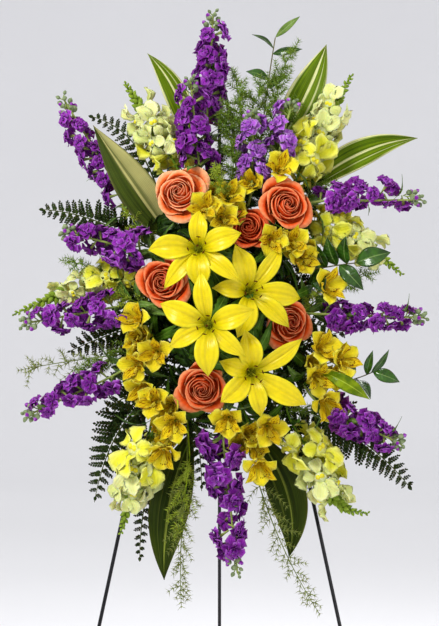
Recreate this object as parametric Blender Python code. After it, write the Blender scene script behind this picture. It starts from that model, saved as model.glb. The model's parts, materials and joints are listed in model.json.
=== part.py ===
"""Standing funeral spray: lilies, roses, stock, snapdragons, alstroemeria and greenery in a cage of wet foam,
hung on a three-legged wire easel whose back leg folds forward.

X runs to the viewer's right, -Y towards the viewer and +Z up. The feet stand on z = 0.
"""

import itertools
import math
import random
from dataclasses import dataclass, field

import bmesh
import bpy
from mathutils import Matrix, Vector
from mathutils.geometry import intersect_line_line

CM = 0.01
MM = 0.001
GAP = 0.3 * MM  # clearance between pieces that touch
GOLDEN_TURN = math.radians(137.5)  # the turn from one floret to the next up a spike
FLAT_ANGLE = math.radians(0.5)

# Easel: front legs that lean back and meet at the top, two cross bars, and a back leg on a hinge
LEAN = math.radians(8)
FOOT_X = 0.300
FOOT_Y = -0.247
LEG_TAPER = 0.2116  # how far a front leg comes in for each metre of height
APEX_HEIGHT = 1.400
WIRE_RADIUS = 3.25 * MM
BAR_RADIUS = 3.0 * MM
HANGER_HEIGHT = 1.085
BRACE_HEIGHT = 0.920
HINGE_HEIGHT = 1.365
HINGE_SET_BACK = 20 * MM
PIN_RADIUS = 2.75 * MM
EYE_CLEARANCE = 0.35 * MM
BACK_LEG_SLOPE = math.radians(18)
STUB_LENGTH = 30 * MM

# Foam block and its cage
FOAM_SIZE = Vector((100 * MM, 75 * MM, 220 * MM))
PLATE_THICKNESS = 3 * MM
PLATE_MARGIN = 3 * MM
HOOP_HEIGHT = 87 * MM  # above and below the foam's middle
HOOP_WIDTH = 8 * MM
HOOP_THICKNESS = 2 * MM
HOOK_RADIUS = 1.5 * MM
HOOK_X = 30 * MM
HOOK_DROP = 14 * MM

# Stems in the foam
HOLE_DEPTH = 28 * MM
HOLE_CLEARANCE = 0.4 * MM
STRAIGHT_RUN = 9 * MM  # how far a stem stays straight outside its hole
PORT_SPACING = 15 * MM
PORT_MARGIN = 9 * MM
STEM_CLEARANCE = 1.5 * MM
SETTLING_ROUNDS = 60

UP_SLOPE = Vector((0, math.sin(LEAN), math.cos(LEAN)))
OUTWARD = Vector((0, -math.cos(LEAN), math.sin(LEAN)))
TO_VIEWER = Vector((0, -1, 0))

# The looks of the pieces: colour and roughness
LOOKS = {
    "wire": ((0.02, 0.02, 0.022), 0.4),
    "cage": ((0.03, 0.10, 0.04), 0.5),
    "foam": ((0.05, 0.16, 0.06), 0.95),
    "lily": ((0.80, 0.66, 0.03), 0.5),
    "rose": ((0.80, 0.16, 0.05), 0.55),
    "stock": ((0.27, 0.07, 0.48), 0.6),
    "snapdragon": ((0.80, 0.80, 0.38), 0.55),
    "alstroemeria": ((0.80, 0.55, 0.03), 0.5),
    "variegated": ((0.16, 0.26, 0.06), 0.4),
    "fern": ((0.03, 0.09, 0.03), 0.6),
    "asparagus": ((0.20, 0.32, 0.06), 0.6),
    "twig": ((0.06, 0.18, 0.05), 0.35),
}


def frame_point(across, height, out=0.0):
    """A point in the leaning plane of the front legs, moved out of it towards the viewer."""
    return Vector((across, FOOT_Y + height * math.tan(LEAN), height)) + OUTWARD * out


def leg_across(height):
    return FOOT_X - LEG_TAPER * height


PLATE_BACK = BAR_RADIUS + GAP
FOAM_BACK = PLATE_BACK + PLATE_THICKNESS + GAP
HEART_OUT = FOAM_BACK + FOAM_SIZE.y / 2
HEART = frame_point(0, 1.0 - HEART_OUT * math.sin(LEAN), HEART_OUT)  # the middle of the foam, 1 m up
FOAM_FRAME = Matrix.Translation(HEART) @ Matrix.Rotation(-LEAN, 4, "X")


def spot(across, up, out):
    """A point in centimetres right of, above and in front of the middle of the foam."""
    return HEART + Vector((across, -out, up)) * CM


@dataclass
class Plant:
    """One cut stem: the bits of its head, and where and how its stem reaches them."""

    name: str
    look: str
    bits: list
    head: Vector
    arrival: Vector
    radius: float
    balls: list = field(default_factory=list)  # (centre, radius) that other stems keep out of
    spike: list = field(default_factory=list)  # points that the stem runs on through, past the head's foot
    path: list = field(default_factory=list)


# Scene, materials and bodies


def clear_scene():
    for item in list(bpy.data.objects):
        bpy.data.objects.remove(item)


def new_collection(name):
    collection = bpy.data.collections.new(name)
    bpy.context.scene.collection.children.link(collection)
    return collection


def make_material(look):
    colour, roughness = LOOKS[look]
    material = bpy.data.materials.new(look)
    material.use_nodes = True
    shader = material.node_tree.nodes["Principled BSDF"]
    shader.inputs["Base Color"].default_value = (*colour, 1)
    shader.inputs["Roughness"].default_value = roughness
    shader.inputs["Metallic"].default_value = 0.0
    return material


def evaluated_mesh(item):
    depsgraph = bpy.context.evaluated_depsgraph_get()
    return bpy.data.meshes.new_from_object(item.evaluated_get(depsgraph))


def body(mesh):
    """A scratch object for a closed mesh, still to be fused or named."""
    item = bpy.data.objects.new("bit", mesh)
    bpy.context.scene.collection.objects.link(item)
    return item


def body_from(bm):
    """A scratch object from a closed bmesh, its faces turned outward."""
    if bm.calc_volume(signed=True) < 0:
        bmesh.ops.reverse_faces(bm, faces=bm.faces)
    mesh = bpy.data.meshes.new("bit")
    bm.to_mesh(mesh)
    bm.free()
    return body(mesh)


def file_part(item, name, look):
    """Names a finished body, gives it its own material and puts it in the object's collection."""
    item.name = name
    item.data.name = name
    item.data.materials.clear()
    item.data.materials.append(make_material(look))
    for collection in list(item.users_collection):
        collection.objects.unlink(item)
    bpy.data.collections["standing_funeral_spray"].objects.link(item)
    item.data.shade_smooth()
    item.data.set_sharp_from_angle(angle=math.radians(40))
    return item


def keep_main_body(mesh):
    """Drops the closed pockets and loose scraps that a union can leave, and merges its flat faces."""
    bm = bmesh.new()
    bm.from_mesh(mesh)
    bmesh.ops.dissolve_limit(bm, angle_limit=FLAT_ANGLE, verts=bm.verts, edges=bm.edges)
    bmesh.ops.triangulate(bm, faces=bm.faces)
    waiting = set(bm.verts)
    groups = []
    while waiting:
        group = {waiting.pop()}
        edge = list(group)
        while edge:
            linked = {e.other_vert(v) for v in edge for e in v.link_edges} - group
            group |= linked
            edge = list(linked)
        waiting -= group
        groups.append(group)
    main = max(groups, key=len)
    bmesh.ops.delete(bm, geom=[v for v in bm.verts if v not in main], context="VERTS")
    bm.to_mesh(mesh)
    bm.free()


def fuse(bits, solver):
    """One body from bits that run into each other."""
    first, rest = bits[0], bits[1:]
    group = new_collection("bits")
    for bit in rest:
        group.objects.link(bit)
    union = first.modifiers.new("union", "BOOLEAN")
    union.operation = "UNION"
    union.operand_type = "COLLECTION"
    union.collection = group
    union.solver = solver
    mesh = evaluated_mesh(first)
    for bit in bits:
        bpy.data.objects.remove(bit)
    bpy.data.collections.remove(group)
    keep_main_body(mesh)
    return body(mesh)


# Shapes


def rod(points, radius, resolution=0, end_scale=1.0):
    """A round wire or stem through the points, which may thin towards its end."""
    curve = bpy.data.curves.new("rod", "CURVE")
    curve.dimensions = "3D"
    curve.bevel_depth = radius
    curve.bevel_resolution = resolution
    curve.use_fill_caps = True
    spline = curve.splines.new("POLY")
    spline.points.add(len(points) - 1)
    for index, (knot, point) in enumerate(zip(spline.points, points)):
        knot.co = (*point, 1)
        knot.radius = 1 + (end_scale - 1) * index / (len(points) - 1)
    holder = body(curve)
    mesh = evaluated_mesh(holder)
    bpy.data.objects.remove(holder)
    bm = bmesh.new()
    bm.from_mesh(mesh)
    bmesh.ops.remove_doubles(bm, verts=bm.verts, dist=0.01 * MM)
    return body_from(bm)


def box(low, high, frame):
    """A box between two corners of a frame."""
    low, high = Vector(low), Vector(high)
    bm = bmesh.new()
    bmesh.ops.create_cube(bm, size=1)
    middle = (low + high) / 2
    size = high - low
    place = frame @ Matrix.Translation(middle) @ Matrix.Diagonal((*size, 1))
    bmesh.ops.transform(bm, matrix=place, verts=bm.verts)
    return body_from(bm)


def split_alike(bm):
    """Splits each four-sided face from its root and edge corner, so both sides of a blade bend alike."""
    for face in [f for f in bm.faces if len(f.verts) == 4]:
        corners = list(face.verts)
        rank = [c.co.z + 0.5 * abs(c.co.x) + 0.1 * c.co.x for c in corners]
        index = rank.index(max(rank))
        bmesh.utils.face_split(face, corners[index], corners[(index + 2) % 4])


def shaped(columns, rings, place, frame=None):
    """A closed body from a sphere: place(t, turn) lays its rings out from root (t = 0) to tip (t = 1)."""
    frame = frame or Matrix.Identity(4)
    bm = bmesh.new()
    bmesh.ops.create_uvsphere(bm, u_segments=columns, v_segments=rings + 1, radius=1)
    split_alike(bm)
    for vert in bm.verts:
        t = math.acos(max(-1.0, min(1.0, vert.co.z))) / math.pi
        turn = math.atan2(vert.co.y, vert.co.x) if 0.001 < t < 0.999 else 0.0
        vert.co = frame @ place(t, turn)
    return body_from(bm)


def bezier(points, t):
    """A point on the smooth curve that the control points pull."""
    points = [Vector(p) for p in points]
    while len(points) > 1:
        points = [a.lerp(b, t) for a, b in zip(points, points[1:])]
    return points[0]


def heading(points, t):
    return (bezier(points, min(t + 0.02, 1)) - bezier(points, max(t - 0.02, 0))).normalized()


def swell(t, peak, power=1.0):
    """A width that grows from nothing to 1 at the peak and back to nothing."""
    return math.sin(math.pi * t ** (math.log(0.5) / math.log(peak))) ** power


def blade(line, width, thickness, face=TO_VIEWER, peak=0.5, fold=0.0, rings=3, frame=None, power=1.0):
    """A thin leaf or petal along a curve, its edges lifted towards `face` by `fold`."""

    def place(t, turn):
        if t < 0.001 or t > 0.999:
            return bezier(line, round(t))
        along = heading(line, t)
        side = along.cross(face).normalized()
        normal = side.cross(along)
        half = 0.5 * width * swell(t, peak, power)
        across = math.cos(turn)
        lift = fold * half * abs(across) + 0.5 * thickness * math.sin(turn)
        return bezier(line, t) + side * half * across + normal * lift

    return shaped(4, rings, place, frame)


def needle(root, tip, radius, sides=3):
    """A slim spindle."""
    root, tip = Vector(root), Vector(tip)
    along = (tip - root).normalized()
    side = along.orthogonal().normalized()
    other = along.cross(side)

    def place(t, turn):
        if t < 0.001 or t > 0.999:
            return root.lerp(tip, round(t))
        return root.lerp(tip, 0.4) + (side * math.cos(turn) + other * math.sin(turn)) * radius

    return shaped(sides, 1, place)


def needle_star(frame, count, tip_reach, tip_height, notch_reach, notch_height, depth):
    """Slim spikes from one root: `count` tips round a ring with low notches between them."""

    def place(t, turn):
        if t < 0.001:
            return Vector((0, 0, -depth))
        if t > 0.999:
            return Vector((0, 0, notch_height + 0.5 * notch_reach))
        is_tip = round(turn / (math.pi / count)) % 2 == 0
        reach, height = (tip_reach, tip_height) if is_tip else (notch_reach, notch_height)
        return Vector((reach * math.cos(turn), reach * math.sin(turn), height))

    return shaped(2 * count, 1, place, frame)


def facing(point, yaw, pitch=0.0, roll=0.0):
    """The frame of a bloom: Z is where it looks, turned right by yaw and up by pitch, in degrees."""
    yaw, pitch, roll = math.radians(yaw), math.radians(pitch), math.radians(roll)
    look = Vector((math.sin(yaw) * math.cos(pitch), -math.cos(yaw) * math.cos(pitch), math.sin(pitch)))
    right = Vector((math.cos(yaw), math.sin(yaw), 0))
    up = look.cross(right)
    turn = Matrix((right, up, look)).transposed().to_4x4()
    return Matrix.Translation(point) @ turn @ Matrix.Rotation(roll, 4, "Z")


def turned(frame, degrees):
    return frame @ Matrix.Rotation(math.radians(degrees), 4, "Z")


def looking(frame):
    return frame.to_3x3() @ Vector((0, 0, 1))


# Easel


def cut_level(item):
    """Cuts a leg off level at the floor."""
    bm = bmesh.new()
    bm.from_mesh(item.data)
    cut = bmesh.ops.bisect_plane(
        bm, geom=[*bm.verts, *bm.edges, *bm.faces], plane_co=(0, 0, 0), plane_no=(0, 0, 1), clear_inner=True
    )
    bmesh.ops.contextual_create(bm, geom=[e for e in cut["geom_cut"] if isinstance(e, bmesh.types.BMEdge)])
    bm.to_mesh(item.data)
    bm.free()


def front_leg(side):
    below = -0.02
    foot = frame_point(side * leg_across(below), below)
    top = frame_point(side * leg_across(APEX_HEIGHT), APEX_HEIGHT)
    leg = rod([foot, top], WIRE_RADIUS, resolution=3)
    cut_level(leg)
    return leg


def cross_bar(height):
    """A bar whose ends all but touch the insides of the two front legs."""
    inner = WIRE_RADIUS / math.cos(math.atan(LEG_TAPER)) + GAP
    reach = leg_across(height + BAR_RADIUS) - inner
    ends = [frame_point(-reach, height), frame_point(reach, height)]
    return rod(ends, BAR_RADIUS, resolution=3)


def pivot_point():
    return frame_point(0, HINGE_HEIGHT, -HINGE_SET_BACK)


def hinge_staple():
    """A U of wire welded to the backs of the legs; its cross piece is the hinge pin."""
    across = Vector((leg_across(HINGE_HEIGHT), 0, 0))
    pivot = pivot_point()
    to_leg = OUTWARD * (HINGE_SET_BACK - WIRE_RADIUS - GAP)
    corners = [pivot - across + to_leg, pivot - across, pivot + across, pivot + across + to_leg]
    return rod(corners, PIN_RADIUS, resolution=3)


def back_leg():
    """The back leg: an eye round the hinge pin, the leg, and a stub that stops at the front legs."""
    pivot = pivot_point()
    down = Vector((0, math.sin(BACK_LEG_SLOPE), -math.cos(BACK_LEG_SLOPE)))
    ring = PIN_RADIUS + EYE_CLEARANCE + WIRE_RADIUS
    bpy.ops.mesh.primitive_torus_add(
        major_segments=12,
        minor_segments=6,
        major_radius=ring,
        minor_radius=WIRE_RADIUS,
        location=pivot,
        rotation=(0, math.pi / 2, 0),
    )
    eye = bpy.context.object
    eye.data.transform(eye.matrix_world)
    eye.matrix_world = Matrix.Identity(4)
    length = pivot.z / math.cos(BACK_LEG_SLOPE)
    leg = rod([pivot + down * ring, pivot + down * (length + 0.02)], WIRE_RADIUS, resolution=3)
    stub = rod([pivot - down * ring, pivot - down * STUB_LENGTH], WIRE_RADIUS, resolution=3)
    whole = fuse([leg, eye, stub], "MANIFOLD")
    cut_level(whole)
    whole.data.transform(Matrix.Translation(-pivot))
    whole.location = pivot
    return whole


# Cage and foam


def cage_hoop(height):
    """A flat strap from the plate round the front of the foam."""
    half = FOAM_SIZE.x / 2 + GAP
    front = -FOAM_SIZE.y / 2 - GAP
    back = FOAM_SIZE.y / 2 + GAP + PLATE_THICKNESS / 2
    low, high = height - HOOP_WIDTH / 2, height + HOOP_WIDTH / 2
    outer = half + HOOP_THICKNESS
    left = box((-outer, front - HOOP_THICKNESS, low), (-half, back, high), FOAM_FRAME)
    right = box((half, front - HOOP_THICKNESS, low), (outer, back, high), FOAM_FRAME)
    cross = box((-outer, front - HOOP_THICKNESS, low), (outer, front, high), FOAM_FRAME)
    return [left, right, cross]


def cage_hook(across):
    """A wire hook from the plate over the hanger bar."""
    over = BAR_RADIUS + GAP + HOOK_RADIUS
    bar = frame_point(across, HANGER_HEIGHT)
    inside = OUTWARD * (PLATE_BACK + PLATE_THICKNESS / 2)
    corners = [
        bar + inside + UP_SLOPE * over,
        bar + UP_SLOPE * over - OUTWARD * over,
        bar - OUTWARD * over - UP_SLOPE * HOOK_DROP,
    ]
    return rod(corners, HOOK_RADIUS, resolution=1)


def spray_cage():
    half = FOAM_SIZE.x / 2 + PLATE_MARGIN
    tall = FOAM_SIZE.z / 2 + PLATE_MARGIN
    near = FOAM_SIZE.y / 2 + GAP
    plate = box((-half, near, -tall), (half, near + PLATE_THICKNESS, tall), FOAM_FRAME)
    hoops = cage_hoop(HOOP_HEIGHT) + cage_hoop(-HOOP_HEIGHT)
    hooks = [cage_hook(-HOOK_X), cage_hook(HOOK_X)]
    return fuse([plate, *hoops, *hooks], "EXACT")


def hole_cutter(plant):
    """A square prism down the stem's straight run into the foam."""
    deep, outside = plant.path[0], plant.path[1]
    along = (outside - deep).normalized()
    start = deep - along * 2 * GAP
    length = (outside - start).length + 2 * MM
    radius = (plant.radius + HOLE_CLEARANCE) / math.cos(math.pi / 4)
    bm = bmesh.new()
    bmesh.ops.create_cone(bm, cap_ends=True, segments=4, radius1=radius, radius2=radius, depth=length)
    turn = along.to_track_quat("Z", "Y").to_matrix().to_4x4()
    bmesh.ops.transform(bm, matrix=Matrix.Translation(start + along * length / 2) @ turn, verts=bm.verts)
    return body_from(bm)


def wet_foam(plants):
    """The foam block, with a blind hole for each stem."""
    block = box(-FOAM_SIZE / 2, FOAM_SIZE / 2, FOAM_FRAME)
    cutters = new_collection("cutters")
    for plant in plants:
        cutter = hole_cutter(plant)
        bpy.context.scene.collection.objects.unlink(cutter)
        cutters.objects.link(cutter)
        cutter.name = "hole_for_" + plant.name
        cutter.hide_render = True
        cutter.display_type = "WIRE"
    holes = block.modifiers.new("stem_holes", "BOOLEAN")
    holes.operation = "DIFFERENCE"
    holes.operand_type = "COLLECTION"
    holes.collection = cutters
    return block


# Blooms

LILY_THROAT_DEPTH = 3.0 * CM
LILY_INNER_WIDTH = 4.1 * CM
LILY_OUTER_WIDTH = 3.4 * CM
LILY_THICKNESS = 1.4 * MM
STAMEN_LENGTH = 4.6 * CM


def lily_tepal(bloom, clock, reach, inner):
    """A tepal that rises out of the throat, spreads and curls back at its tip."""
    drop = 0.0 if inner else -0.25 * CM
    line = [
        (0.3 * CM, 0, -LILY_THROAT_DEPTH),
        (0.25 * reach, 0, 0.6 * CM + drop),
        (0.70 * reach, 0, 0.9 * CM + drop),
        (reach, 0, -0.8 * CM + drop),
    ]
    width = LILY_INNER_WIDTH if inner else LILY_OUTER_WIDTH
    return blade(
        line, width, LILY_THICKNESS, face=Vector((0, 0, 1)), peak=0.58, fold=0.22, rings=4,
        frame=turned(bloom, clock), power=1.15,
    )


def lily(name, at, yaw, pitch, inner_tepals, outer_tepals):
    """A lily: tepals given as {clock angle: reach in cm}, six stamens and a pistil."""
    bloom = facing(spot(*at), yaw, pitch)
    base = bloom @ Vector((0, 0, -LILY_THROAT_DEPTH - 1.2 * CM))
    bits = [needle(base, bloom @ Vector((0, 0, -LILY_THROAT_DEPTH + 0.9 * CM)), 0.75 * CM, sides=6)]
    for tepals, inner in ((inner_tepals, True), (outer_tepals, False)):
        for clock, reach in tepals.items():
            bits.append(lily_tepal(bloom, clock, reach * CM, inner))
    stamens = turned(bloom, 20)
    bits.append(needle_star(stamens, 6, 1.5 * CM, STAMEN_LENGTH - LILY_THROAT_DEPTH, 1.1 * MM,
                            -0.72 * LILY_THROAT_DEPTH, LILY_THROAT_DEPTH))
    balls = [(bloom @ Vector((0, 0, -1.5 * CM)), 2.5 * CM)]
    return Plant(name, "lily", bits, base.lerp(bloom.translation, 0.15), looking(bloom), 2.8 * MM, balls)


ROSE_DEPTH = 4.6 * CM
ROSE_THICKNESS = 1.5 * MM
ROSE_PETALS = 8
ROSE_HALF_SPAN = math.radians(68)


def rose_petal(bloom, index, radius):
    """A cupped petal: each one stands outside those before it, and the last ones open and curl."""
    share = index / (ROSE_PETALS - 1)
    size = radius * (0.26 + 0.62 * share)
    curl = radius * 0.14 * share * share
    rim = -0.22 * radius * share * share
    profile = [
        (0.25 * CM, 0, -ROSE_DEPTH),
        (size * 1.25, 0, -ROSE_DEPTH + (0.7 - 0.6 * share) * CM),
        (size * 0.93, 0, -1.5 * CM),
        (size + curl, 0, rim),
    ]

    def place(t, turn):
        point = bezier(profile, t)
        across = math.cos(turn) if 0.001 < t < 0.999 else 0.0
        span = ROSE_HALF_SPAN * swell(t, 0.60, 0.4)
        angle = index * GOLDEN_TURN + span * across
        reach = point.x + 0.5 * ROSE_THICKNESS * math.sin(turn)
        droop = 0.10 * radius * across * across * t
        return Vector((reach * math.cos(angle), reach * math.sin(angle), point.z - droop))

    return shaped(6, 3 if share > 0.5 else 2, place, bloom)


def rose(name, at, yaw, pitch, radius):
    """A rose: a tight bud inside a spiral of petals that open outwards."""
    radius *= CM
    bloom = facing(spot(*at), yaw, pitch)
    base = bloom @ Vector((0, 0, -ROSE_DEPTH - 0.6 * CM))
    bits = [
        needle(base, bloom @ Vector((0, 0, -ROSE_DEPTH + 1.6 * CM)), 0.95 * CM, sides=5),
        needle(bloom @ Vector((0, 0, -ROSE_DEPTH)), bloom @ Vector((0, 0, -0.2 * CM)), 0.55 * CM, sides=5),
    ]
    for index in range(ROSE_PETALS):
        bits.append(rose_petal(bloom, index, radius))
    balls = [(bloom @ Vector((0, 0, -2.2 * CM)), radius)]
    return Plant(name, "rose", bits, base.lerp(bloom.translation, 0.1), looking(bloom), 2.6 * MM, balls)


ALSTROEMERIA_DEPTH = 3.6 * CM
ALSTROEMERIA_NOTCH_TURN = math.radians(9)  # widens three of the six lobes and narrows the others


def alstroemeria_bloom(bloom, reach):
    """A funnel of three broad lobes with three narrow, more upright ones between them."""

    def place(t, turn):
        if t < 0.001:
            return Vector((0, 0, -ALSTROEMERIA_DEPTH))
        if t > 0.999:
            return Vector((0, 0, -0.5 * ALSTROEMERIA_DEPTH))
        column = round(turn / (math.tau / 12)) % 12
        broad, narrow = column % 4 == 0, column % 4 == 2
        bend = 0.0 if column % 2 == 0 else ALSTROEMERIA_NOTCH_TURN * (1 if column % 4 == 1 else -1)
        if t > 0.5:
            ring, height = 0.22 * reach, -0.9 * CM
        else:
            ring = reach * (1.0 if broad else 0.92 if narrow else 0.62)
            height = 0.05 * CM if broad else 0.7 * CM if narrow else 0.1 * CM
        return Vector((ring * math.cos(turn + bend), ring * math.sin(turn + bend), height))

    return shaped(12, 2, place, bloom)


def alstroemeria(name, fork, blooms):
    """An umbel: blooms given as (spot, yaw, pitch, roll, reach in cm), each on a stalk from the fork."""
    fork = spot(*fork)
    bits = []
    balls = []
    for at, yaw, pitch, roll, reach in blooms:
        bloom = facing(spot(*at), yaw, pitch, roll)
        base = bloom @ Vector((0, 0, -ALSTROEMERIA_DEPTH - 0.4 * CM))
        bits.append(alstroemeria_bloom(bloom, reach * CM))
        bits.append(needle(fork - (base - fork) * 0.06, base + looking(bloom) * 1.3 * CM, 1.8 * MM))
        balls.append((bloom.translation.lerp(base, 0.4), 2.2 * CM))
    middle = sum((spot(*b[0]) for b in blooms), Vector()) / len(blooms)
    return Plant(name, "alstroemeria", bits, fork, (middle - HEART).normalized(), 2.2 * MM, balls)


# Flower spikes


def spike_line(foot, tip):
    """The foot, middle and tip of a straight spike."""
    foot, tip = spot(*foot), spot(*tip)
    return [foot, foot.lerp(tip, 0.5), tip]


def outward_frame(line, t, turn, lean):
    """The frame of a floret on a spike: Z outward from the stem and a little up it, Y up the stem."""
    along = heading(line, t)
    side = along.orthogonal().normalized()
    away = Matrix.Rotation(turn, 3, along) @ side
    look = (away + along * lean).normalized()
    right = along.cross(look).normalized()
    up = look.cross(right)
    turned_axes = Matrix((right, up, look)).transposed().to_4x4()
    return Matrix.Translation(bezier(line, t)) @ turned_axes


def stock_floret(frame, stand, size, ruffle):
    """A ruffled floret on a cone out of the stem, its petals by turns long and short, low and high."""

    def place(t, turn):
        if t < 0.001:
            return Vector((0, 0, 0.05 * stand))
        if t > 0.999:
            return Vector((0, 0, stand + 0.05 * size))
        long = round(turn / (math.tau / 6)) % 2 == 0
        reach = size * (1.0 if long else 0.72)
        lift = stand + size * (ruffle if long else 0.28)
        return Vector((reach * math.cos(turn), reach * math.sin(turn), lift))

    return shaped(6, 1, place, frame)


def bud_whorl(line, t, turn, count, reach):
    """Buds that point forward round the stem."""
    frame = outward_frame(line, t, turn, 0.0) @ Matrix.Rotation(-math.pi / 2, 4, "X")
    return needle_star(frame, count, 0.75 * reach, 0.9 * reach, 0.22 * reach, 0.5 * reach, 0.2 * reach)


def stock_spike(line, florets, size, draw):
    """Florets in a spiral up the stem, then a whorl of buds at the tip."""
    bits = []
    for index in range(florets):
        t = 0.02 + 0.76 * index / (florets - 1)
        frame = outward_frame(line, t, index * GOLDEN_TURN, 0.3)
        wide = size * (1.0 - 0.36 * t)
        bits.append(stock_floret(frame, 0.80 * wide, wide, draw.uniform(-0.25, 0.15)))
    bits.append(bud_whorl(line, 0.88, 0.3, 4, 1.9 * CM))
    return bits


def spike_balls(line, radius):
    return [(bezier(line, t / 4), radius) for t in range(5)]


def stock(name, spikes, seed):
    """Stock: spikes given as (foot, tip, florets, floret radius in cm), the rest off the first."""
    draw = random.Random(seed)
    bits = []
    balls = []
    first = spike_line(*spikes[0][:2])
    for foot, tip, florets, size in spikes:
        line = spike_line(foot, tip)
        bits += stock_spike(line, florets, size * CM, draw)
        balls += spike_balls(line, 1.5 * size * CM)
        if line[0] != first[0]:
            bits.append(rod([first[0] - heading(first, 0) * CM, *line], 2.0 * MM, end_scale=0.5))
    return Plant(name, "stock", bits, first[0], heading(first, 0), 2.4 * MM, balls, first[1:])


def snapdragon_floret(frame, size):
    """A tube that opens into a two-lobed upper lip and a longer two-lobed lower lip round a puffed throat."""

    def place(t, turn):
        if t < 0.001:
            return Vector((0, 0, 0))
        if t > 0.999:
            return Vector((0, -0.25, 1.6)) * size
        if t < 0.5:
            return Vector((0.42 * math.cos(turn), 0.42 * math.sin(turn) - 0.1, 0.65)) * size
        reach = 0.65 if abs(math.sin(turn)) < 0.1 else 1.2
        forward = 1.5 if math.sin(turn) < -0.1 else 1.2
        return Vector((reach * math.cos(turn), reach * math.sin(turn), forward)) * size

    return shaped(6, 2, place, frame)


def snapdragon(name, line_points, sag, florets, whorls, size):
    """A snapdragon: open florets low on the spike, whorls of buds towards its bent tip."""
    line = [spot(*point) for point in line_points]
    line.insert(1, line[0].lerp(line[-1], 0.4) - Vector((0, 0, sag * CM)))
    bits = []
    for index in range(florets):
        t = 0.03 + 0.52 * index / (florets - 1)
        frame = outward_frame(line, t, index * GOLDEN_TURN, 0.35)
        bits.append(snapdragon_floret(frame, size * CM * (1 - 0.35 * t)))
    for index in range(whorls):
        t = 0.68 + 0.28 * index / whorls
        bits.append(bud_whorl(line, t, index, 3, (2.2 - 0.4 * index) * CM))
    spike = [bezier(line, step / 3) for step in range(1, 4)]
    balls = spike_balls(line, 1.6 * size * CM)
    return Plant(name, "snapdragon", bits, line[0], heading(line, 0), 2.2 * MM, balls, spike)


# Foliage

FROND_THICKNESS = 1.2 * MM


def broad_leaf(name, line_points, width):
    """A long variegated leaf, folded a little along its midrib."""
    line = [spot(*point) for point in line_points]
    leaf = blade(line, width * CM, 1.4 * MM, peak=0.46, fold=0.16, rings=6)
    balls = [(bezier(line, t / 8), 0.3 * width * CM) for t in range(1, 8)]
    return Plant(name, "variegated", [leaf], bezier(line, 0.05), heading(line, 0), 2.0 * MM, balls)


def frond(line, width, pairs):
    """A fern frond: leaflets in pairs, swept forward and cut in to the rib, shorter towards the tip."""
    rings = 2 * pairs

    def place(t, turn):
        if t < 0.001 or t > 0.999:
            return bezier(line, round(t))
        along = heading(line, t)
        side = along.cross(TO_VIEWER).normalized()
        normal = side.cross(along)
        step = round(t * (rings + 1))
        reach = width * min(1.0, 0.55 + 2.2 * t) * (1.06 - t)
        half = reach if step % 2 == 0 else 0.30 * reach
        across = math.cos(turn)
        sweep = 0.45 * half * abs(across)
        sag = 0.22 * half * across * across + 0.5 * FROND_THICKNESS * math.sin(turn)
        return bezier(line, t) + side * half * across + along * sweep - normal * sag

    return shaped(4, rings, place)


def fern(name, fork, fronds):
    """A leatherleaf stem: fronds given as (line points, width in cm, pairs), from one fork."""
    fork = spot(*fork)
    bits = []
    balls = []
    for points, width, pairs in fronds:
        line = [spot(*point) for point in points]
        bits.append(frond(line, 0.5 * width * CM, pairs))
        bits.append(rod([fork, line[0], line[0] + heading(line, 0) * 4 * MM], 1.6 * MM))
        balls += [(bezier(line, t / 6), 1.2 * CM) for t in range(7)]
    middle = spot(*fronds[0][0][0])
    return Plant(name, "fern", bits, fork, (middle - fork).normalized(), 1.6 * MM, balls)


def tuft(line, t, turn, reach):
    """A whorl of three needles standing out and forward from the stem."""
    frame = outward_frame(line, t, turn, 0.0)
    frame = frame @ Matrix.Rotation(-math.pi / 2, 4, "X")
    return needle_star(frame, 3, reach, 0.35 * reach, 0.9 * MM, 0.5 * MM, 0.6 * MM)


def needle_spray(line, tufts, branches, reach, draw):
    """An asparagus stem with whorls of needles, and side branches that end in a whorl of their own."""
    bits = []
    for index in range(tufts):
        t = 0.20 + 0.78 * index / (tufts - 1)
        bits.append(tuft(line, t, index * GOLDEN_TURN, draw.uniform(1.6, 2.2) * CM))
    for index in range(branches):
        t = 0.15 + 0.70 * index / branches
        frame = outward_frame(line, t, math.pi * index + 0.4, 0.9)
        side = [frame.translation, frame @ Vector((0, 0, reach))]
        bits.append(needle(side[0], side[1], 0.9 * MM))
        bits.append(tuft(side, 0.7, index, draw.uniform(1.2, 1.7) * CM))
    return bits


def asparagus(name, fork, sprays, seed):
    """Asparagus fern: sprays given as (line points, whorls, side branches, branch length in cm)."""
    draw = random.Random(seed)
    fork = spot(*fork)
    bits = []
    balls = []
    for points, tufts, branches, reach in sprays:
        line = [spot(*point) for point in points]
        bits += needle_spray(line, tufts, branches, reach * CM, draw)
        bits.append(rod([fork, *(bezier(line, step / 2) for step in range(3))], 1.3 * MM, end_scale=0.6))
        balls += [(bezier(line, t / 6), 1.0 * CM) for t in range(7)]
    middle = spot(*sprays[0][0][0])
    return Plant(name, "asparagus", bits, fork, (middle - fork).normalized(), 1.4 * MM, balls)


def twig(name, line_points, leaves):
    """A woody twig: leaves given as (place along it, direction as right, up, out, length, width), in cm."""
    line = [spot(*point) for point in line_points]
    bits = []
    for place, (across, up, out), length, width in leaves:
        root = bezier(line, place)
        aim = Vector((across, -out, up)).normalized()
        tip = root + aim * length * CM
        middle = root.lerp(tip, 0.5) + TO_VIEWER * 0.5 * CM
        bits.append(blade([root, middle, tip], width * CM, 1.2 * MM, peak=0.5, fold=0.2, rings=3))
    balls = [(bezier(line, t / 5), 1.5 * CM) for t in range(6)]
    spike = [bezier(line, step / 2) for step in range(1, 3)]
    return Plant(name, "twig", bits, line[0], heading(line, 0), 1.7 * MM, balls, spike)


# The arrangement: places are centimetres right of, above and in front of the middle of the foam


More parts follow.
